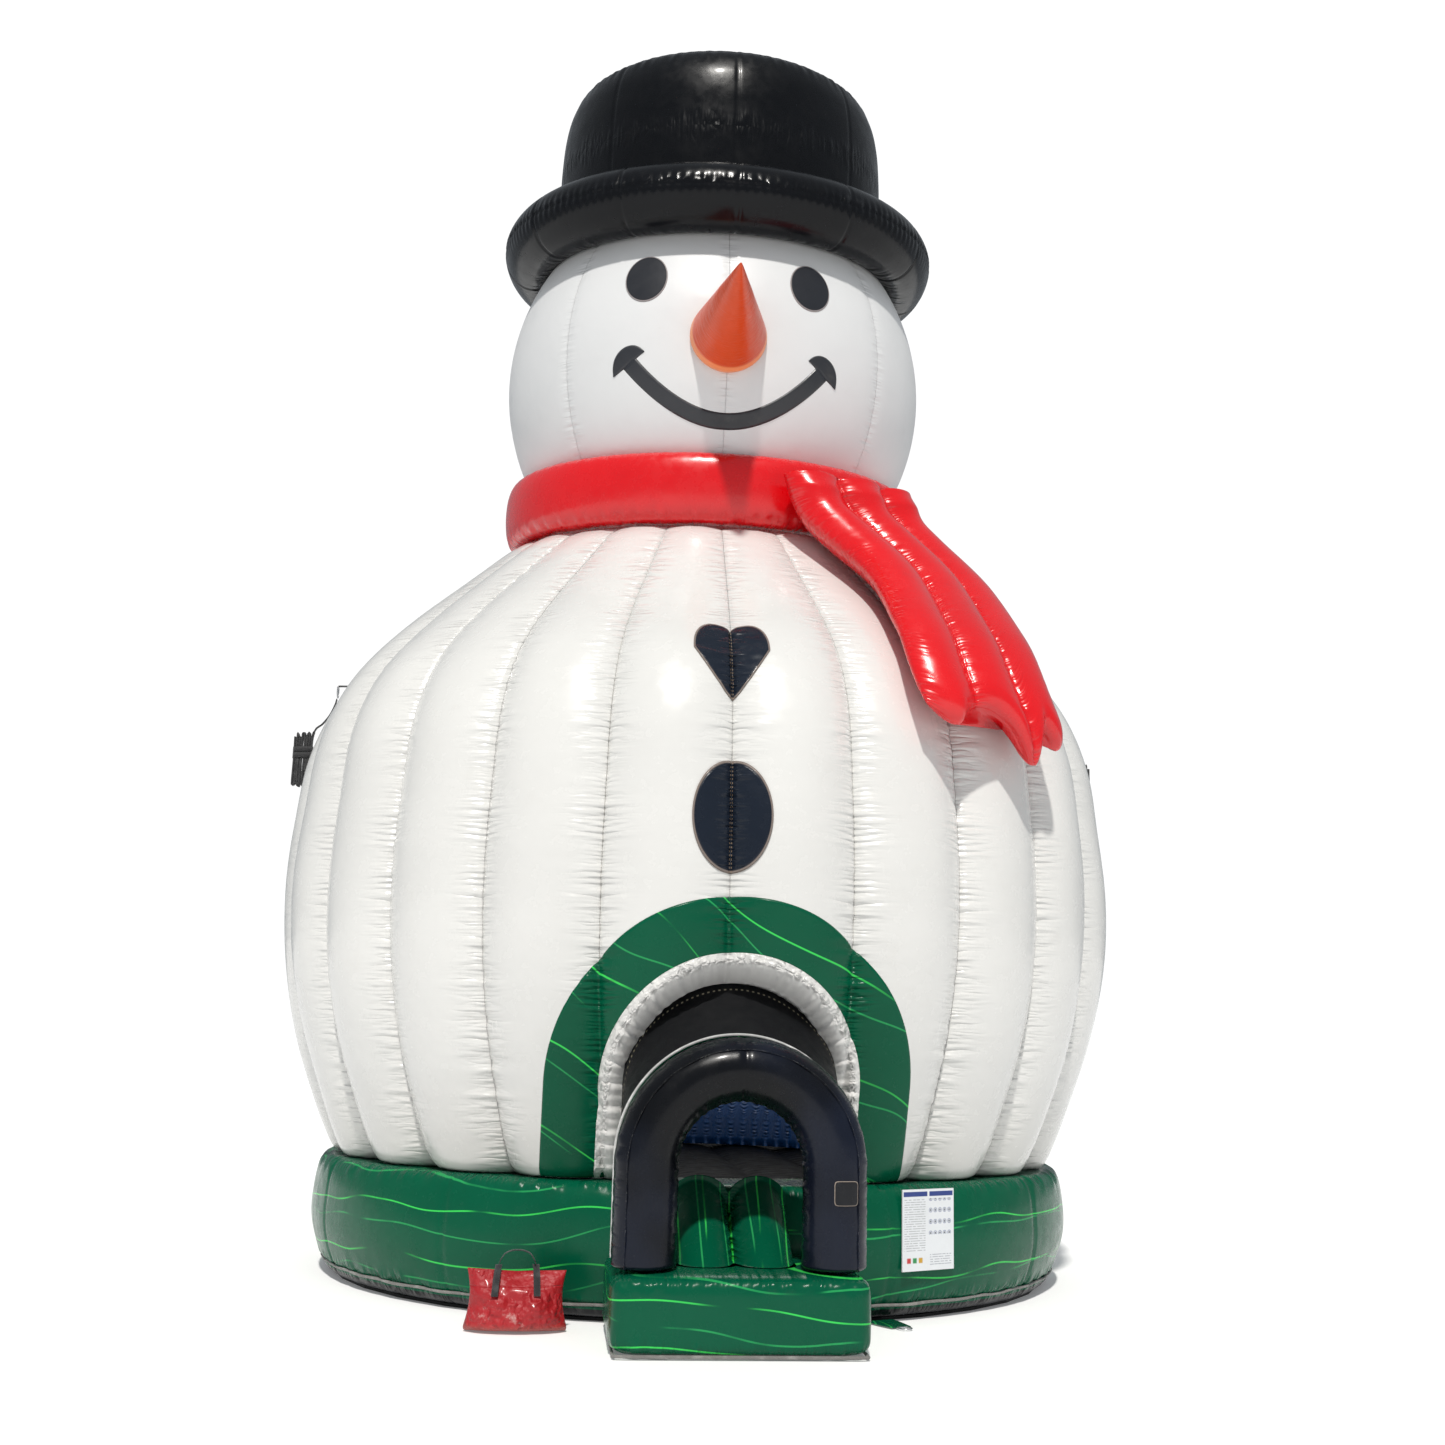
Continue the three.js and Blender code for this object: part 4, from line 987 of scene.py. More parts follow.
ruffle = (0.005 * np.sin(angle * 73 + 2 * np.sin(3 * angle)) + 0.003 * np.sin(angle * 119)) * hems
gore_dents = -0.010 * bump(np.abs((angle / (np.pi / 6) + 0.5) % 1 - 0.5),
                           0.02) * bump(ring[..., 2] - 5.33, 0.06)
outer_face = smooth_step(radius, 1.45, 1.5)
ring = around(angle, radius + (ruffle + gore_dents) * outer_face, ring[..., 2])
skin("scarf_band", lean(ring), red_vinyl, ("scarf_ring",), measure=(9.9, 1.5),
     ring=True)

red_tail = vinyl("red_tail_vinyl", (0.72, 0.0018, 0.006), 0.22, 0.4, dirt=(0.35, 0.002, 0.008),
                 dirt_share=0.2, mottle=0.05)
u, v, _ = red_tail.parts(red_tail.map)
from_groove = red_tail.times(red_tail.sum("PINGPONG", u, 0.5), 0.40)
gathers(red_tail, v, from_groove, 0.16, 0.008, 12.0)
tail_line = curve_through([(1.742, 5.640), (1.810, 5.400), (2.000, 5.190), (2.462, 4.767),
                           (2.900, 4.232), (3.141, 3.678), (3.190, 3.360)], 401)
tail_slope = np.gradient(tail_line, axis=0)
tail_slope /= np.linalg.norm(tail_slope, axis=1)[:, None]
tail_bend = curve_through([(0, 31.5), (0.3, 36.5), (0.6, 32.5), (0.8, 30.8), (1, 32.4)], 201)
finger_ends = curve_through([(0.0, 0.895), (0.09, 0.925), (0.17, 0.935), (0.25, 0.905),
                             (0.36, 0.885), (0.46, 0.895), (0.55, 0.93), (0.62, 0.99), (0.69, 1.0),
                             (0.745, 0.955), (0.80, 0.915), (0.87, 0.945), (0.94, 0.95),
                             (1.0, 0.90)], 201)


def scarf_tail_skin(share, along, face):
    """Three cells side by side: half the thickness follows the arch of a sine over each cell,
    flattens down the tail and closes in a quarter circle at each finger's end."""
    end = np.interp(share, finger_ends[:, 0], finger_ends[:, 1])
    at = along * end * 400
    radius, height = along_line(tail_line, at)
    slope_r, slope_z = along_line(tail_slope, at)
    middle = np.radians(np.interp(along * end, tail_bend[:, 0], tail_bend[:, 1]))
    turn = middle + (2 * share - 1) * 0.590 / radius
    lobe = np.abs(np.sin(3 * np.pi * share)) ** 0.65
    edge = np.sqrt(np.clip(1 - np.abs(2 * share - 1) ** 14, 0, 1))
    taper = 1 - 0.33 * along ** 2
    close = np.sqrt(np.clip(1 - np.clip((along - 0.93) / 0.07, 0, 1) ** 2, 0.0004, 1))
    root = 0.75 + 0.25 * smooth_step(along, 0, 0.05)
    fold = 0.0035 * np.sin(along * 150 + 3 * share) * bump(lobe, 0.5)
    half = ((0.045 + 0.108 * lobe) * taper + fold) * close * edge * root
    far = radius + face * half * -slope_z
    up = height + face * half * slope_r
    return lean(around(turn, far, up))


cells = np.linspace(0, 1, 91)
rows = np.concatenate([np.linspace(0, 0.93, 190)[:-1], 0.93
                       + 0.07 * np.sin(np.linspace(0, np.pi / 2, 22))])
top_u, top_v = np.meshgrid(cells, rows)
low_u, low_v = np.meshgrid(cells[::-1][1:-1], rows)
tail = np.concatenate([scarf_tail_skin(top_u, top_v, 1.0), scarf_tail_skin(low_u, low_v, -1.0)], 1)
skin("scarf_tail_cells", tail, red_tail, ("scarf_tail",), body="scarf_tail",
     measure=(6.0, 3.1))

# --------------------------------------------------------------------------------------------
# Button patches: a heart and an oval of navy vinyl on the front seam, sewn round with a pale
# piping; the seam beneath draws a line of puckers down the middle of each.
# --------------------------------------------------------------------------------------------
def wall_share(height):
    return np.interp(height, wall_fine[:, 1], np.linspace(0, 1, 2001))


def on_wall(x, z, lift):
    """A point on the body wall straight behind x at height z, stood off by lift."""
    share = wall_share(z)
    radius = np.interp(share * 2000, np.arange(2001), wall_fine[:, 0])
    return lean(wall_skin(np.arcsin(np.clip(x / radius, -0.99, 0.99)), share, lift))


navy = patch_look("navy_button_vinyl", (0.010, 0.015, 0.026), (0.22, 0.18, 0.16), 0.24, 0.4)
x, y, z = navy.parts(navy.place)
front_seam = 3.02 * math.sin(gore_turn)
middle_off = navy.off(x, front_seam)
gathers(navy, z, middle_off, 0.19, 0.026, 14.0)
stitch_row = navy.step(navy.off(middle_off, 0.006), 0.001, 0.003, 1.0, 0.0)
stitch_gap = navy.step(navy.sum("SINE", navy.times(z, 260.0)), 0.0, 0.4)
navy.paint(navy.times(stitch_row, stitch_gap), (0.30, 0.22, 0.15))
navy.relief(navy.step(middle_off, 0.0, 0.012, 1.0, 0.0), -0.006)
oval = join(front_seam + 0.240 * np.cos(round_turn), 2.920 + 0.340 * np.sin(round_turn))
skin("oval_button", applique(oval, np.array([front_seam, 2.920]), on_wall, 0.012), navy,
     ("button_oval",), measure=(1.7, 1.115))
lobe_turn = np.linspace(0, np.pi, 50)[:-1]
foot = np.linspace(-1, 1, 81)[:-1]
heart_x = np.concatenate([0.5 + 0.5 * np.cos(lobe_turn), -(0.5 + 0.5 * np.cos(lobe_turn))[::-1],
                          foot])
lobe_rise = 0.105 + 0.245 * np.abs(np.sin(lobe_turn)) ** 0.8
lobe_rise = lobe_rise + 0.150 * np.where(lobe_turn > np.pi / 2, (lobe_turn / (np.pi / 2) - 1) ** 2,
                                         0)
heart_z = np.concatenate([lobe_rise, lobe_rise[::-1], -0.290 + 0.395 * np.abs(foot) ** 1.25])
heart = join(front_seam + 0.237 * heart_x, 3.930 + heart_z)
skin("heart_button", applique(heart, np.array([front_seam, 3.98]), on_wall, 0.012), navy,
     ("button_heart",), measure=(1.6, 1.115))

# --------------------------------------------------------------------------------------------
# Doorway: a broad green arch sewn on the gores, and inside it a padded white reveal that is
# gathered tightly all round, where the wall's outer and inner skins meet.
# --------------------------------------------------------------------------------------------
def arch_way(half, centre, foot, count):
    """Points along an arch of two straight legs and a half circle, at even steps, and the
    outward direction at each, in x and z."""
    leg = centre - foot
    total = 2 * leg + np.pi * half
    s = np.linspace(0, total, count)
    on_left, on_right = s < leg, s > total - leg
    bow = np.pi - (s - leg) / half
    x = np.where(on_left, -half, np.where(on_right, half, half * np.cos(bow)))
    z = np.where(on_left, foot + s, np.where(on_right, foot + total - s,
                                             centre + half * np.sin(bow)))
    out_x = np.where(on_left, -1.0, np.where(on_right, 1.0, np.cos(bow)))
    out_z = np.where(on_left | on_right, 0.0, np.sin(bow))
    return x, z, out_x, out_z, s


green_arch = lined_green("green_surround_vinyl", (0.55, 0.0, 0.85, 0.0), 0.42, seed=2.0, swing=0.5)
x, y, z = green_arch.parts(green_arch.place)
bearing = green_arch.times(green_arch.sum("SUBTRACT", green_arch.sum("ARCTAN2", x,
                                                                     green_arch.times(y, -1.0)),
                                          gore_turn), 1 / gore_angle)
seam_off = green_arch.times(green_arch.sum("PINGPONG", bearing, 0.5), gore_width)
gathers(green_arch, z, seam_off, 0.20, 0.022, 15.0)
x0, z0, ox, oz, s0 = arch_way(0.741, door_centre, 0.803, 260)
band = np.concatenate([np.linspace(0, 1, 34), np.linspace(1, 0, 12)])
lift = np.concatenate([[-0.002], np.full(32, 0.009), [-0.002], np.full(12, -0.004)])
xs = x0[:, None] + ox[:, None] * 0.357 * band
zs = z0[:, None] + oz[:, None] * 0.357 * band
surround = on_wall(xs, zs, np.broadcast_to(lift, xs.shape))
skin("door_band", surround, green_arch, ("door_surround",), measure=(0.72, 3.6))

white_reveal = vinyl("white_reveal_vinyl", (0.74, 0.73, 0.71), 0.34, 0.2, dirt_share=0.2,
                     mottle=0.04)
u, v, _ = white_reveal.parts(white_reveal.map)
gathers(white_reveal, v, white_reveal.sum("ABSOLUTE", u), 0.40, 0.034, 11.0)
gathers(white_reveal, v, white_reveal.off(u, 0.34), 0.30, 0.030, 13.0, 2.0)
reveal_steps = 560
x0, z0, ox, oz, s0 = arch_way(0.7725, door_centre, 0.796, reveal_steps)
lip = np.linspace(0, 1, 30)
inwards = np.concatenate([[0.0, 0.0], 0.158 * lip, np.full(12, 0.170), [0.145, 0.033, 0.033]])
depth = np.concatenate([[0.012, -0.008], -0.018 - 0.040 * np.sin(np.pi * lip) ** 0.8
                        + 0.105 * lip ** 1.5, np.zeros(12), [0, 0, 0]])
xs = x0[:, None] - ox[:, None] * inwards
zs = z0[:, None] - oz[:, None] * inwards
folds = (0.55 * np.sin(s0 * 58 + 2 * np.sin(s0 * 6)) + 0.45 * np.sin(s0 * 91))[:, None]
mouth = on_wall(xs[:, :33], zs[:, :33], np.zeros((reveal_steps, 33)))[..., 1]
near_lip = np.concatenate([[0, 0.2], np.sin(np.pi * lip) ** 0.5, [1.0]])
fore = mouth + np.concatenate([depth[:32], [0.10]]) + 0.010 * folds * near_lip
back = np.linspace(0, 1, 12)[1:]
tunnel = fore[:, -1:] + (-2.10 - fore[:, -1:]) * back
tail = join(-2.095, -2.10, mouth[:, 0] + 0.03)
ys = np.concatenate([fore, tunnel, tail], 1)
xs = xs + 0.006 * ox[:, None] * folds * np.concatenate([np.zeros(28), np.ones(16), np.zeros(3)])
skin("reveal_pad", join(xs, ys, zs), white_reveal, ("door_reveal",),
     measure=(1.6, 3.5))

# --------------------------------------------------------------------------------------------
# Entry: a black inflated arch on the step, a black mesh hood that joins it to the doorway with a
# green strip and a pale piping along its front, and a small sewn square on the arch's right leg.
# --------------------------------------------------------------------------------------------
black_arch = coated_black("black_arch_vinyl", 0.24, 0.45)
black_arch.paint(black_arch.step(black_arch.noise(black_arch.place, 1.6, 2), 0.35, 0.7),
                 (0.008, 0.011, 0.022))
u, v, _ = black_arch.parts(black_arch.map)
for seam_at in (0.0, 0.55, 1.10):
    gathers(black_arch, v, black_arch.off(u, seam_at), 0.19, 0.022, 10.0, seam_at)
arch_y = -3.330
x0, z0, ox, oz, s0 = arch_way(0.515, 0.955, 0.419, 360)
loop = circle(72)
length = s0[-1]
centre_seam = bump(s0 - length / 2, 0.018)
folds = 0.0022 * np.sin(s0 * 62 + 2 * np.sin(s0 * 7)) + 0.0014 * np.sin(s0 * 101)
inner_side = bump(np.abs(loop - np.pi), 0.5)
outer_side = bump(np.minimum(loop, 2 * np.pi - loop), 0.35)
foot = np.minimum(s0, length - s0)
plump = 0.175 * np.sqrt(np.clip(1 - np.clip(1 - foot / 0.03, 0, 1) ** 2 * 0.5, 0.3, 1))
tube = plump[:, None] + folds[:, None] * (inner_side + 0.6 * outer_side) - 0.007 * centre_seam[:,
                                                                                               None]
tube = tube - 0.006 * (bump(np.abs(loop - np.pi * 0.62), 0.05)
                       + bump(np.abs(loop - 2 * np.pi + 0.9), 0.05))
arch = join(x0[:, None] + ox[:, None] * tube * np.cos(loop), arch_y - tube * np.sin(loop),
            z0[:, None] + oz[:, None] * tube * np.cos(loop))
skin("arch_tube", arch, black_arch, ("entry_arch",), measure=(1.10, 2.7))

pale_piping = woven("pale_piping", (0.55, 0.55, 0.54), 300)
for name, half, depth, thick in (("arch_piping_front", 0.515 + 0.108, -3.330 - 0.142, 0.004),
                                 ("arch_piping_back", 0.515 + 0.155, -3.330 + 0.098, 0.006)):
    px, pz, pox, poz, ps = arch_way(half, 0.955, 0.43, 220)
    line = join(px, np.full(220, depth) + 0.003 * np.sin(ps * 30), pz)
    skin(name, wire(line, (0, 1, 0), thick, 8, ends=True),
         black_arch if "front" in name else pale_piping, measure=(0.03, 2.9))

mesh_hood = coated_black("black_hood_mesh", 0.5, 0.1)
u, v, _ = mesh_hood.parts(mesh_hood.map)
weave = mesh_hood.times(mesh_hood.sum("SINE", mesh_hood.times(u, 900.0)),
                        mesh_hood.sum("SINE", mesh_hood.times(v, 900.0)))
mesh_hood.relief(weave, 0.0008)
row = mesh_hood.step(mesh_hood.off(u, 0.405), 0.003, 0.007, 1.0, 0.0)
dash = mesh_hood.step(mesh_hood.sum("SINE", mesh_hood.times(v, 180.0)), 0.1, 0.5)
mesh_hood.paint(mesh_hood.times(row, dash), (0.40, 0.36, 0.26))
hood_front, hood_back = -3.140, -2.700
hood = []
for face in (0.0, 0.022):
    sheet = []
    for k in np.linspace(0, 1, 40):
        hx, hz, hox, hoz, hs = arch_way(0.655 + (0.612 - 0.655) * k + face,
                                        0.970 + (1.345 - 0.970) * k, 0.447 + (0.805 - 0.447) * k,
                                        240)
        sag = 0.018 * math.sin(math.pi * k) * (1 - 0.3 * np.sin(hs * 9))
        sheet.append(join(hx - hox * sag, hood_front + (hood_back - hood_front) * k,
                          hz - hoz * sag))
    hood.append(np.stack(sheet))
hood_loop = np.concatenate([hood[1], hood[0][::-1]]).transpose(1, 0, 2)
skin("hood_mesh", hood_loop, mesh_hood, ("entry_hood",), measure=(1.0, 3.2))

px, pz, pox, poz, ps = arch_way(0.672, 0.975, 0.45, 260)
loop = circle(20)
puff = 0.012 + 0.0015 * np.sin(ps * 60)[:, None]
strip_grid = join(px[:, None] + pox[:, None] * puff * np.cos(loop),
                  -3.105 + 0.045 * np.sin(loop) + 0 * px[:, None],
                  pz[:, None] + poz[:, None] * puff * np.cos(loop))
green_strip = lined_green("green_strip_vinyl", (1.0, 0.0, 0.0, 0.0), 0.30, seed=4.0)
skin("hood_edge", strip_grid, green_strip, measure=(0.1, 3.3))
px, pz, pox, poz, ps = arch_way(0.681, 0.975, 0.45, 260)
line = join(px, -3.148, pz)
skin("hood_piping", wire(line, (0, 1, 0), 0.008, 8, ends=True), pale_piping,
     measure=(0.05, 3.3))

square = circle(64)
sx = 0.066 * np.sign(np.cos(square)) * np.abs(np.cos(square)) ** 0.25
sz = 0.064 * np.sign(np.sin(square)) * np.abs(np.sin(square)) ** 0.25


def on_leg(x, z, lift):
    """The front of the arch's right leg at x and z."""
    reach = 0.175 + lift
    return join(x, arch_y - np.sqrt(np.clip(reach ** 2 - (x - 0.515) ** 2, 0.001, 1)), z)


leg_patch = patch_look("leg_patch_vinyl", (0.011, 0.012, 0.015), (0.40, 0.33, 0.28), 0.3, 0.3)
skin("leg_patch", applique(join(0.55 + sx, 0.835 + sz), np.array([0.55, 0.835]), on_leg, 0.007),
     leg_patch, measure=(0.5, 1.115))

# --------------------------------------------------------------------------------------------
# Front step and ramp: a square inflated step lies before the base, and two air tubes side by side
# climb from it to the floor. Both are green vinyl with the same bright lines.
# --------------------------------------------------------------------------------------------
green_step = lined_green("green_step_vinyl", (0.06, 0.0, 1.0, 0.0), 0.24, trim_height=0.012,
                         seed=7.0, swing=0.25)
x, y, z = green_step.parts(green_step.place)
gathers(green_step, x, green_step.off(z, 0.03), 0.12, 0.022, 10.0)
gathers(green_step, x, green_step.off(z, 0.40), 0.10, 0.018, 10.0, 3.0)


def base_front(x, gap):
    """How far forward the base wall stands at x, with a gap before it."""
    return -np.sqrt(np.clip((2.705 + gap) ** 2 - x ** 2, 0.01, 10))


def power(value, exponent):
    return np.sign(value) * np.abs(value) ** exponent


eta = np.linspace(-np.pi / 2 + 0.01, np.pi / 2 - 0.01, 90)
omega = circle(240)
om, et = np.meshgrid(omega, eta)
flat = power(np.cos(et), 0.22)
box_x = 0.700 * flat * power(np.cos(om), 0.16)
box_y = -3.005 + 0.575 * flat * power(np.sin(om), 0.20)
box_z = 0.2095 + 0.2075 * power(np.sin(et), 0.30)
edge_run = np.where(np.abs(np.cos(om)) > np.abs(np.sin(om)), box_y, box_x)
wave = 0.004 * np.sin(edge_run * 55 + 1.5 * np.sin(edge_run * 9)) * (bump(box_z - 0.05, 0.05)
                                                                     + bump(box_z - 0.385, 0.04))
box_x = box_x * (1 + wave)
box_y = np.where(box_y < -3.3, box_y - wave, box_y)
box_y = np.minimum(box_y, base_front(box_x, 0.006))
skin("step_pad", join(box_x, box_y, box_z), green_step, ("front_step",),
     measure=(4.0, 1.4))
corner = [(-0.672, -2.75), (-0.672, -3.0), (-0.672, -3.40), (-0.668, -3.515), (-0.645, -3.548),
          (-0.4, -3.553), (0.0, -3.554), (0.4, -3.553), (0.645, -3.548), (0.668, -3.515),
          (0.672, -3.40), (0.672, -3.0), (0.672, -2.75)]
hem = curve_through(corner, 240)
hem_line = join(hem[:, 0], hem[:, 1], 0.014)
skin("step_binding", wire(hem_line, (0, 0, 1), 0.009, 8, ends=True), binding,
     measure=(0.06, 3.0))

green_ramp = lined_green("green_ramp_vinyl", (1.0, 0.0, 0.0, 0.0), 0.155, seed=9.0, swing=0.14)
x, y, z = green_ramp.parts(green_ramp.place)
gathers(green_ramp, z, green_ramp.sum("ABSOLUTE", x), 0.14, 0.022, 16.0)
ramp_climb = math.radians(36)
ramp_half = 0.42
tube_radius = 0.172
tubes = []
s = np.linspace(0, 1, 90)
along = -ramp_half + 2 * ramp_half * s
loop = circle(64)
nose_end = np.sqrt(np.clip(1 - np.clip(1 - s / 0.16, 0, 1) ** 2, 0.0005, 1))
for side in (-1, 1):
    swell = tube_radius * nose_end[:, None] + 0.004 * np.sin(s * 70)[:,
                                                                     None] * bump(loop
                                                                                  - (np.pi if side
                                                                                     > 0 else 0),
                                                                                  0.7)
    cx = side * 0.168 + swell * np.cos(loop)
    out = swell * np.sin(loop)
    cy = -2.901 + along[:, None] * math.cos(ramp_climb) - out * math.sin(ramp_climb)
    cz = 0.470 + along[:, None] * math.sin(ramp_climb) + out * math.cos(ramp_climb)
    cy = np.minimum(cy, base_front(cx, 0.004))
    tubes.append(join(cx, cy, np.maximum(cz, 0.4185)))
skin("ramp_tubes", tubes, green_ramp, ("entry_ramp",), measure=(1.0, 0.9))

# --------------------------------------------------------------------------------------------
# Inner roll: a curved bolster of ribbed blue vinyl on the bounce floor, facing the doorway. Sewn
# seams across it divide its air into ribs.
# --------------------------------------------------------------------------------------------
blue_vinyl = vinyl("blue_roll_vinyl", (0.012, 0.085, 0.30), 0.28, 0.35, dirt=(0.03, 0.06, 0.12),
                   dirt_share=0.3)
u, v, _ = blue_vinyl.parts(blue_vinyl.map)
rib_off = blue_vinyl.times(blue_vinyl.sum("PINGPONG", blue_vinyl.times(v, 22 / 2.43), 0.5), 0.11)
gathers(blue_vinyl, u, rib_off, 0.06, 0.020, 16.0)
bend = np.linspace(-0.89, 0.89, 265)
sweep = np.concatenate([np.linspace(0, np.pi, 40), np.linspace(np.pi, 2 * np.pi, 12)[1:-1]])
b, t = np.meshgrid(bend, sweep, indexing="ij")
rib = 1 - 0.055 * np.abs(np.cos(np.pi * (b + 0.89) / 1.78 * 22)) ** 3
round_end = np.sqrt(np.clip(1 - np.abs(b / 0.8905) ** 30, 0.01, 1))
over = np.sin(t) > -1e-9
reach = 1.350 + 0.146 * power(np.cos(t), 0.85) * np.where(over, rib,
                                                          0.99) * (0.85 + 0.15 * round_end)
rise = np.where(over, 0.806 + 0.400 * rib * round_end * np.abs(np.sin(t)) ** 0.75, 0.805)
skin("ribbed_roll", join(reach * np.sin(b), reach * np.cos(b) - 0.350, rise), blue_vinyl,
     ("inner_roll",), measure=(1.2, 2.43))

# --------------------------------------------------------------------------------------------
# Rear window: open black safety mesh, woven of 4 mm strands and held in a border of webbing, in
# an arched opening at the back of the wall. It lets light and air into the room.
# --------------------------------------------------------------------------------------------
black_strand = woven("window_strand", (0.016, 0.016, 0.018), 500)
strands = []
window_half, window_centre, window_foot = 0.424, 1.500, 1.004
for x in np.arange(-0.408, 0.41, 0.017):
    top = window_centre + math.sqrt(window_half ** 2 - x ** 2)
    heights = np.linspace(window_foot, top, 24)
    line = join(x, 2.6245 + 0.0012 * np.cos(np.arange(24) * np.pi), heights)
    strands.append(wire(line, (0, 1, 0), 0.0020, 6, ends=True))
for z in np.arange(1.016, 1.91, 0.017):
    reach = window_half if z < window_centre else math.sqrt(max(window_half ** 2
                                                                - (z - window_centre) ** 2, 1e-4))
    line = join(np.linspace(-reach, reach, 24), 2.6275 - 0.0012 * np.cos(np.arange(24) * np.pi), z)
    strands.append(wire(line, (0, 1, 0), 0.0020, 6, ends=True))
skin("window_lattice", strands, black_strand, ("rear_window",), measure=(0.02, 1.0))
px, pz, pox, poz, ps = arch_way(0.412, window_centre, 1.004, 200)
line = join(px, 2.626, pz)
skin("window_border", strip(line, (0, 1, 0), 0.012, 0.030), black_strand,
     measure=(0.1, 2.3))
sill = join(np.linspace(-0.42, 0.42, 40), 2.626, 1.018)
skin("window_sill", strip(sill, (0, 1, 0), 0.012, 0.030), black_strand,
     measure=(0.1, 0.9))

# --------------------------------------------------------------------------------------------
# Rules board: a printed plastic sheet welded to the base wall, right of the step. Its print is
# generic: two header bands, rows of plain bars, a grid of ringed dots and three coloured squares.
# --------------------------------------------------------------------------------------------
board = Finish("rules_board_print", (0.78, 0.80, 0.83), 0.35, coat=0.2)
x, y, z = board.parts(board.place)
board_turn = math.radians(27.4)
bx = board.sum("MULTIPLY_ADD", x, math.cos(board_turn), board.times(y, math.sin(board_turn)))
bz = board.sum("SUBTRACT", z, 0.300)


def between(look, value, low, high, soft=0.0008):
    """One inside a range, nothing outside it."""
    return look.times(look.step(value, low - soft, low + soft),
                      look.step(value, high - soft, high + soft, 1.0, 0.0))


base = board.blend(board.noise(board.place, 4, 4), (0.78, 0.80, 0.83), (0.66, 0.68, 0.70))
for low, high in ((-0.192, -0.008), (0.008, 0.192)):
    header = board.times(between(board, bx, low, high), between(board, bz, 0.428, 0.456))
    base = board.blend(header, base, (0.010, 0.035, 0.20))
bars = between(board, board.sum("FRACT", board.times(bz, 72.0)), 0.30, 0.62, 0.05)
gaps = board.step(board.noise(board.point(board.times(bx, 60.0),
                                          board.sum("FLOOR", board.times(bz, 72.0))), 1.0, 1), 0.40,
                  0.46)
rows = board.times(board.times(bars, gaps), board.times(between(board, bx, -0.185, -0.022),
                                                        between(board, bz, 0.115, 0.412)))
base = board.blend(board.times(rows, 0.55), base, (0.12, 0.12, 0.14))
cell_x = board.sum("SUBTRACT", board.sum("FRACT", board.sum("MULTIPLY_ADD", bx, 27.5, 10.0)), 0.5)
cell_z = board.sum("SUBTRACT", board.sum("FRACT", board.sum("MULTIPLY_ADD", bz, 15.0, 0.30)), 0.5)
ring_off = board.sum("SQRT", board.sum("ADD", board.sum("POWER", board.times(cell_x, 0.0364), 2.0),
                                       board.sum("POWER", board.times(cell_z, 0.0667), 2.0)))
field = board.times(between(board, bx, 0.0, 0.182), between(board, bz, 0.205, 0.415))
base = board.blend(board.times(between(board, ring_off, 0.0105, 0.0135), field), base,
                   (0.020, 0.05, 0.22))
base = board.blend(board.times(between(board, ring_off, -1.0, 0.006, 0.002), field), base,
                   (0.06, 0.07, 0.10))
foot_rows = board.times(board.times(bars, gaps), board.times(between(board, bx, 0.012, 0.18),
                                                             between(board, bz, 0.03, 0.10)))
base = board.blend(board.times(foot_rows, 0.6), base, (0.10, 0.10, 0.16))
for centre, tint in ((-0.150, (0.50, 0.03, 0.03)), (-0.105, (0.02, 0.25, 0.07)),
                     (-0.060, (0.55, 0.30, 0.02))):
    blob = board.times(between(board, bx, centre - 0.015, centre + 0.015, 0.004),
                       between(board, bz, 0.045, 0.075, 0.004))
    base = board.blend(blob, base, tint)
board.set("Base Color", base)
board.relief(board.noise(board.place, 14, 3), 0.006)
dress(board, "rules_board")

# --------------------------------------------------------------------------------------------
# Ballast bag: a sand-filled bag of red coated cloth slumped on the ground, with two ears where
# its top corners are sewn, a scuffed face and a black webbing handle across the top.
# --------------------------------------------------------------------------------------------
bag_red = vinyl("ballast_bag_cloth", (0.42, 0.006, 0.012), 0.50, 0.1, dirt=(0.50, 0.22, 0.20),
                dirt_share=0.35, mottle=0.12)
scuff = bag_red.noise(bag_red.place, 6.0, 8, 0.75)
bag_red.paint(bag_red.step(scuff, 0.60, 0.72, 0.0, 0.6), (0.62, 0.40, 0.37))
x, y, z = bag_red.parts(bag_red.place)
bag_red.paint(bag_red.step(z, 0.005, 0.06, 0.4, 0.0), (0.25, 0.16, 0.12))
crush = bag_red.noise(bag_red.place, 5.5, 3, 0.55)
bag_red.relief(bag_red.off(crush, 0.5), 0.10)
bag_red.relief(bag_red.noise(bag_red.place, 22, 4), 0.012)
bag_seam = bag_red.off(z, 0.245)
bag_red.relief(bag_red.step(bag_seam, 0.0, 0.006, 1.0, 0.0), -0.003)
bag_place, bag_depth = -1.190, -2.750
turn = circle(192)
level = np.linspace(0, 1, 76)
t, k = np.meshgrid(turn, level)
pillow = np.sqrt(np.clip(1 - np.clip(1 - k / 0.10, 0, 1) ** 2, 0.02, 1))
slump = 0.030 + 0.105 * np.clip(1 - ((k - 0.30) / 0.72) ** 2, 0, 1)
across = power(np.cos(t), 0.45)
ear = np.abs(across) ** 3
side = 0.295 - 0.030 * k - 0.022 * np.sin(np.pi * k) + 0.012 * ear * k ** 3
bag_x = side * across * (0.94 + 0.06 * pillow)
thin = 1 - 0.55 * np.abs(across) ** 2.5
fold = (0.0075 * np.sin(bag_x * 31 + 9 * k) + 0.006 * np.sin(bag_x * 52 - 13 * k + 1)
        + 0.005 * np.sin(17 * k + 14 * bag_x)) * np.sin(np.pi * k) ** 0.4
bag_y = (slump * thin * pillow + 0.8 * fold * thin) * power(np.sin(t), 0.75)
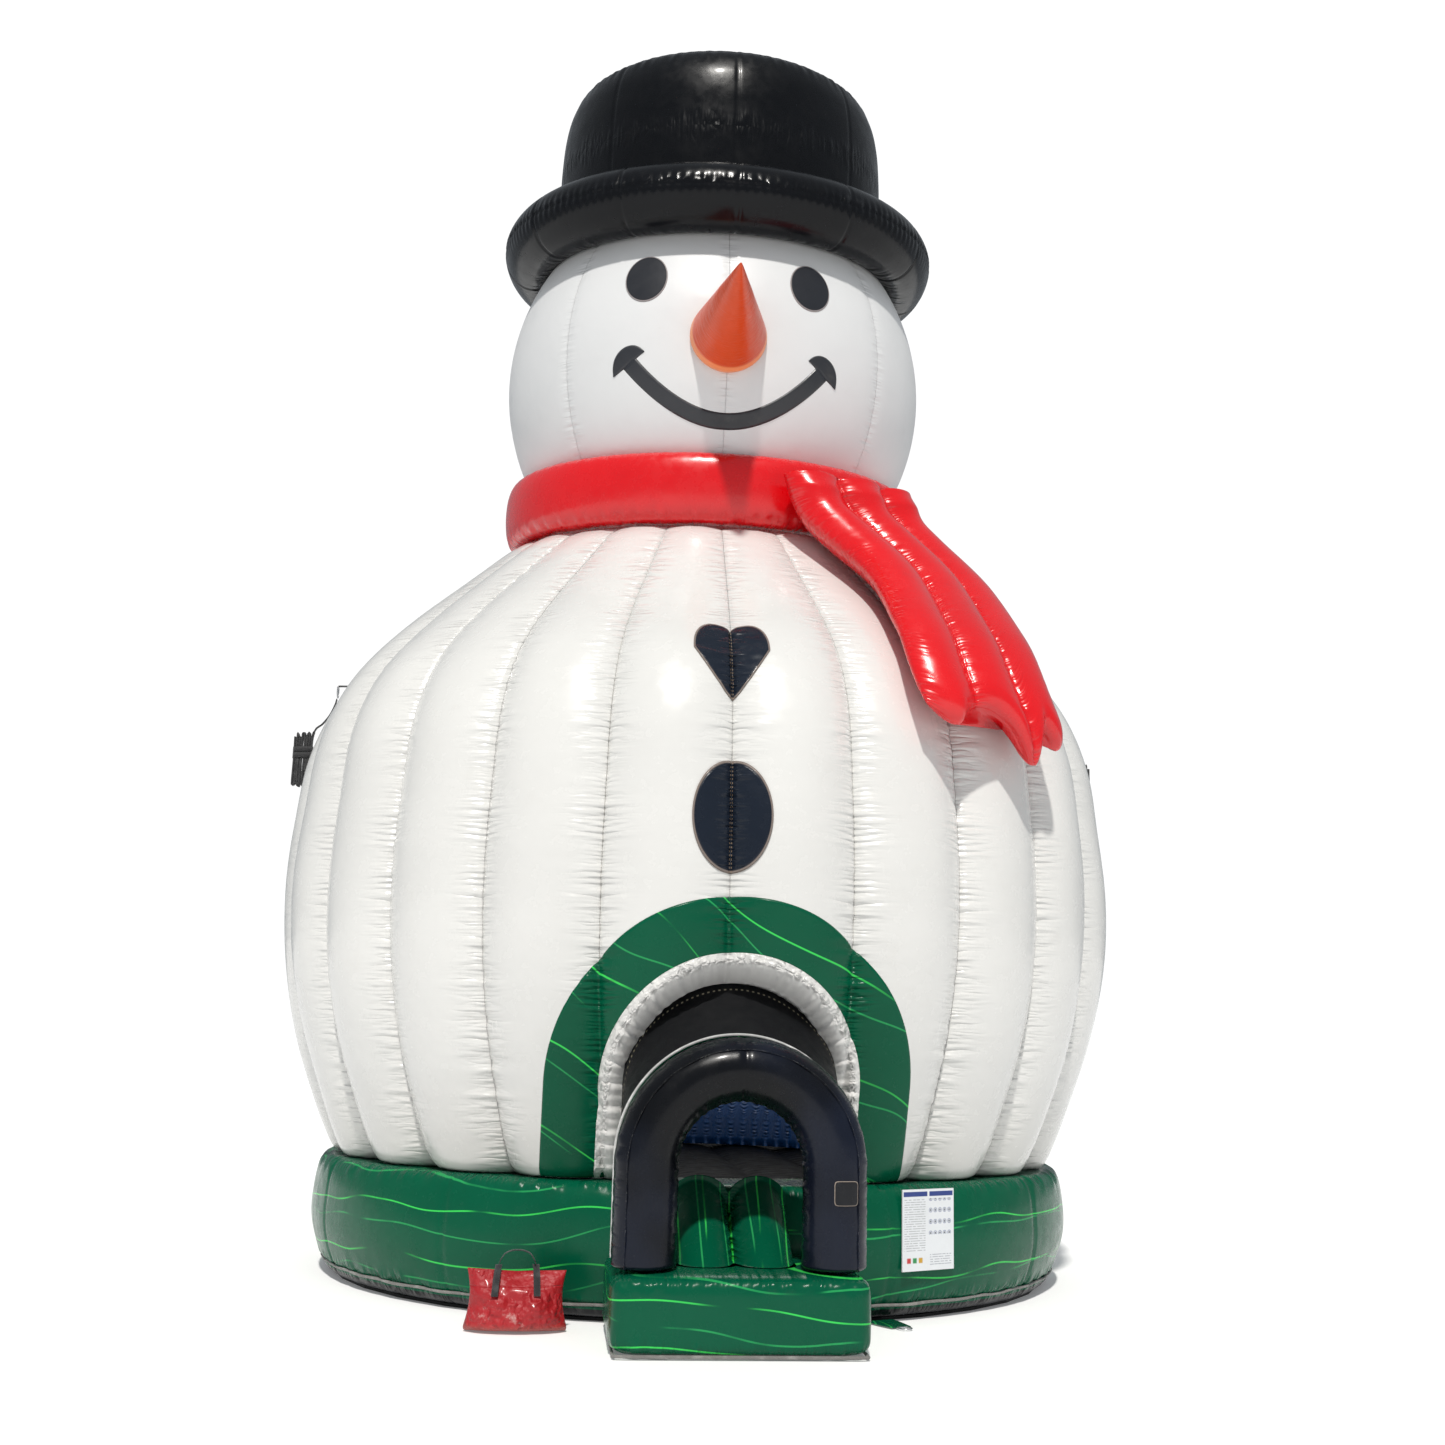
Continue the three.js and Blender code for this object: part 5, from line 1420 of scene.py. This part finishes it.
bag_z = 0.003 + (0.292 + 0.035 * ear - 0.012 * np.cos(bag_x * 16 + 0.7)) * k
bag_z = bag_z + 0.006 * np.sin(bag_x * 24) * k ** 2
bag_y = bag_y + 0.018 * np.sin(bag_x * 9 + 0.5) * k
bag = skin("ballast_bag_skin", join(bag_place + bag_x, bag_depth + bag_y, bag_z), bag_red,
           ("ballast_bag",), measure=(1.4, 0.34))

handle_mid = curve_through([(-0.103, 0.357), (-0.092, 0.385), (-0.070, 0.415), (-0.035, 0.430),
                            (0.0, 0.434), (0.035, 0.430), (0.070, 0.415), (0.092, 0.385),
                            (0.103, 0.357)], 90)
handle_line = join(bag_place + handle_mid[:, 0], bag_depth, handle_mid[:, 1])
skin("bag_handle_loop", strip(handle_line, (0, 1, 0), 0.038, 0.0045), tether_webbing,
     ("bag_handle",), body="bag_handle", measure=(0.1, 0.33))
for side in (-1, 1):
    root = curve_through([(side * 0.103, 0.3555), (side * 0.108, 0.33), (side * 0.112, 0.29),
                          (side * 0.118, 0.20)], 40)
    face = np.interp(root[:, 1], [0.20, 0.29, 0.3555], [-0.118, -0.075, -0.008])
    root_line = join(bag_place + root[:, 0], bag_depth + face
                     + 0.018 * np.sin(root[:, 0] * 9 + 0.5), root[:, 1])
    skin(f"handle_root_{'left' if side < 0 else 'right'}",
         strip(root_line, (1, 0, 0), 0.038, 0.0045), tether_webbing, measure=(0.1, 0.17))

# --------------------------------------------------------------------------------------------
# Anchor tab: a doubled tongue of green vinyl from under the hem, right of the step, that lies on
# the ground and holds the steel ring for a stake.
# --------------------------------------------------------------------------------------------
green_tab = lined_green("green_tab_vinyl", (1.0, 0.0, 0.0, 0.0), 0.2, seed=11.0)
green_tab.relief(green_tab.noise(green_tab.place, 18, 4), 0.02)
far = np.linspace(0, 1, 50)
turn = circle(56)
f, t = np.meshgrid(far, turn, indexing="ij")
half_wide = 0.098 - 0.030 * f ** 1.5
tab_x = half_wide * power(np.cos(t), 0.3)
curl = 0.0012 * np.sin(tab_x * 60) * f
tab_z = 0.0065 + 0.0042 * power(np.sin(t), 0.5) + curl
tab_r = 2.562 + 0.226 * f
skin("ground_tab", join(tab_r * math.sin(anchor_turn) + tab_x * math.cos(anchor_turn),
                        -tab_r * math.cos(anchor_turn) + tab_x * math.sin(anchor_turn), tab_z),
     green_tab, ("anchor_tab",), measure=(0.5, 0.23))

# --------------------------------------------------------------------------------------------
# Air sleeve: a tube of black coated cloth at the back that carries the blower's air into the base
# wall. It wrinkles toward the blower's mouth, where a webbing strap draws it tight.
# --------------------------------------------------------------------------------------------
sleeve_x, sleeve_z, strap_radius = 0.8, 0.33, 0.1545
sleeve_cloth = coated_black("air_sleeve_cloth", 0.42, 0.1)
sleeve_cloth.relief(sleeve_cloth.noise(sleeve_cloth.place, 8, 4), 0.05)
turn = circle(120)
run = np.concatenate([np.linspace(0, 1, 130), [1, 0]])
face = np.concatenate([np.zeros(130), [1, 1]])
t, k = np.meshgrid(turn, run)
_, inner = np.meshgrid(turn, face)
tight = smooth_step(k, 0.80, 0.88)
wrinkle = (0.0028 * np.sin(k * 46 + 2 * np.sin(3 * t)) + 0.002 * np.sin(k * 83 + t * 2)
           + 0.0022 * np.sin(t * 9 + 4 * k)) * (1 - tight)
tuck = 0.0005 * np.sin(t * 34) * tight
tube_r = np.where(inner > 0.5, 0.1432, 0.1470 + wrinkle * 0.42 + tuck + 0.0025 * tight)
sleeve_y = 2.600 + (3.3985 - 2.600) * k
sleeve_y = np.where(k < 0.02, 0.004 + np.sqrt(2.70 ** 2 - (sleeve_x + tube_r * np.cos(t)) ** 2),
                    sleeve_y)
sleeve_y = np.maximum(sleeve_y, 0.004 + np.sqrt(2.70 ** 2 - (sleeve_x + tube_r * np.cos(t)) ** 2))
skin("sleeve_tube", join(sleeve_x + tube_r * np.cos(t), sleeve_y, sleeve_z + tube_r * np.sin(t)),
     sleeve_cloth, ("air_sleeve",), measure=(0.94, 1.6), ring=True)
band_shape = np.array([[-0.0035, -0.019], [0.0035, -0.019], [0.0035, 0.019], [-0.0035, 0.019]])
strap_grid = np.stack([join(sleeve_x + (strap_radius + dr) * np.cos(turn), 3.30 + dy,
                            sleeve_z + (strap_radius + dr) * np.sin(turn))
                       for dr, dy in band_shape], 1)
skin("sleeve_band", strap_grid, tether_webbing, ("sleeve_strap",), measure=(0.1, 1.0),
     ring=True)

# --------------------------------------------------------------------------------------------
# Blower: a moulded yellow scroll housing on a black stand, with a finned wheel, a ribbed motor
# and a wire guard, a rocker switch and a rubber gland for its lead.
# --------------------------------------------------------------------------------------------
def moulded(name, colour, rough, dirt, metal=0.0):
    """Moulded plastic or painted metal: a fine grained skin, rubbed patches and streaks of dirt."""
    look = Finish(name, colour, rough, metal=metal)
    place = look.place
    wear = look.noise(place, 7, 6, 0.65)
    look.base = look.blend(look.step(wear, 0.52, 0.78, 0.0, 0.5), colour, dirt)
    streak = look.noise(look.point(look.times(look.parts(place)[0], 14.0),
                                   look.times(look.parts(place)[1], 90.0),
                                   look.times(look.parts(place)[2], 22.0)), 1.0, 4)
    look.paint(look.step(streak, 0.64, 0.70, 0.0, 0.3), dirt)
    look.set("Roughness", look.step(wear, 0.3, 0.8, rough - 0.08, rough + 0.14))
    look.relief(look.noise(place, 700, 2), 0.0004)
    return look


yellow = moulded("blower_yellow", (0.62, 0.33, 0.012), 0.42, (0.28, 0.18, 0.05))
dark = moulded("blower_dark", (0.013, 0.014, 0.016), 0.5, (0.07, 0.065, 0.06))
coated_metal = moulded("blower_metal", (0.020, 0.021, 0.024), 0.38, (0.09, 0.08, 0.07), metal=0.3)
dress(yellow, "blower_housing")
dress(dark, "blower_wheel", "blower_stand", "blower_rocker", "blower_cord_gland")
dress(coated_metal, "blower_motor", "blower_guard")
dress(tether_webbing, "zip_tape")
dress(zinc, "zip_slider")

# --------------------------------------------------------------------------------------------
# Deflation zip: a long zip in the back of the base wall, under a weather flap of green vinyl that
# is sewn along its top edge. Metal teeth run along the black tape.
# --------------------------------------------------------------------------------------------
zip_turn = math.radians(205)


def on_zip(along, out, height):
    """A point beside the zip: along the wall, out from its flat facet, and its height."""
    y = -2.689 - out
    return join(along * math.cos(zip_turn) - y * math.sin(zip_turn),
                along * math.sin(zip_turn) + y * math.cos(zip_turn), height + 0 * along)


teeth = []
for step in np.arange(-0.268, 0.2125, 0.008):
    a, q = np.meshgrid([-0.0022, -0.0022, 0.0022, 0.0022], [0, 1])
    _, c = np.meshgrid(range(4), [0, 1])
    lift = np.array([0.0052, 0.0085, 0.0085, 0.0052])[None] + 0 * a
    teeth.append(on_zip(step + a, lift, 0.3955 + 0.009 * q))
skin("zip_teeth", teeth, zinc, measure=(0.02, 0.01), smooth=False)

flap_green = lined_green("green_flap_vinyl", (0.0, 0.0, 1.0, 0.0), 0.2, seed=13.0)
flap_green.relief(flap_green.noise(flap_green.place, 9, 3), 0.03)
drop = np.array([0.451, 0.4505, 0.449, 0.444, 0.42, 0.39, 0.36, 0.335, 0.3235, 0.3225, 0.3235,
                 0.335, 0.36, 0.39, 0.42, 0.442, 0.4465, 0.4475])
stand = np.array([0.004, 0.016, 0.025, 0.0290, 0.0297, 0.0299, 0.0300, 0.0304, 0.0304, 0.0290,
                  0.0276, 0.0272, 0.0270, 0.0268, 0.0266, 0.0262, 0.022, 0.004])
span = np.linspace(-0.2895, 0.2895, 90)
a, h = np.meshgrid(span, drop, indexing="ij")
_, o = np.meshgrid(span, stand, indexing="ij")
ripple = 0.0006 * np.sin(a * 42) * (0.45 - h) / 0.13
skin("zip_cover", on_zip(a, o + ripple, h), flap_green, ("zip_flap",),
     body="zip_flap", measure=(0.3, 0.58))
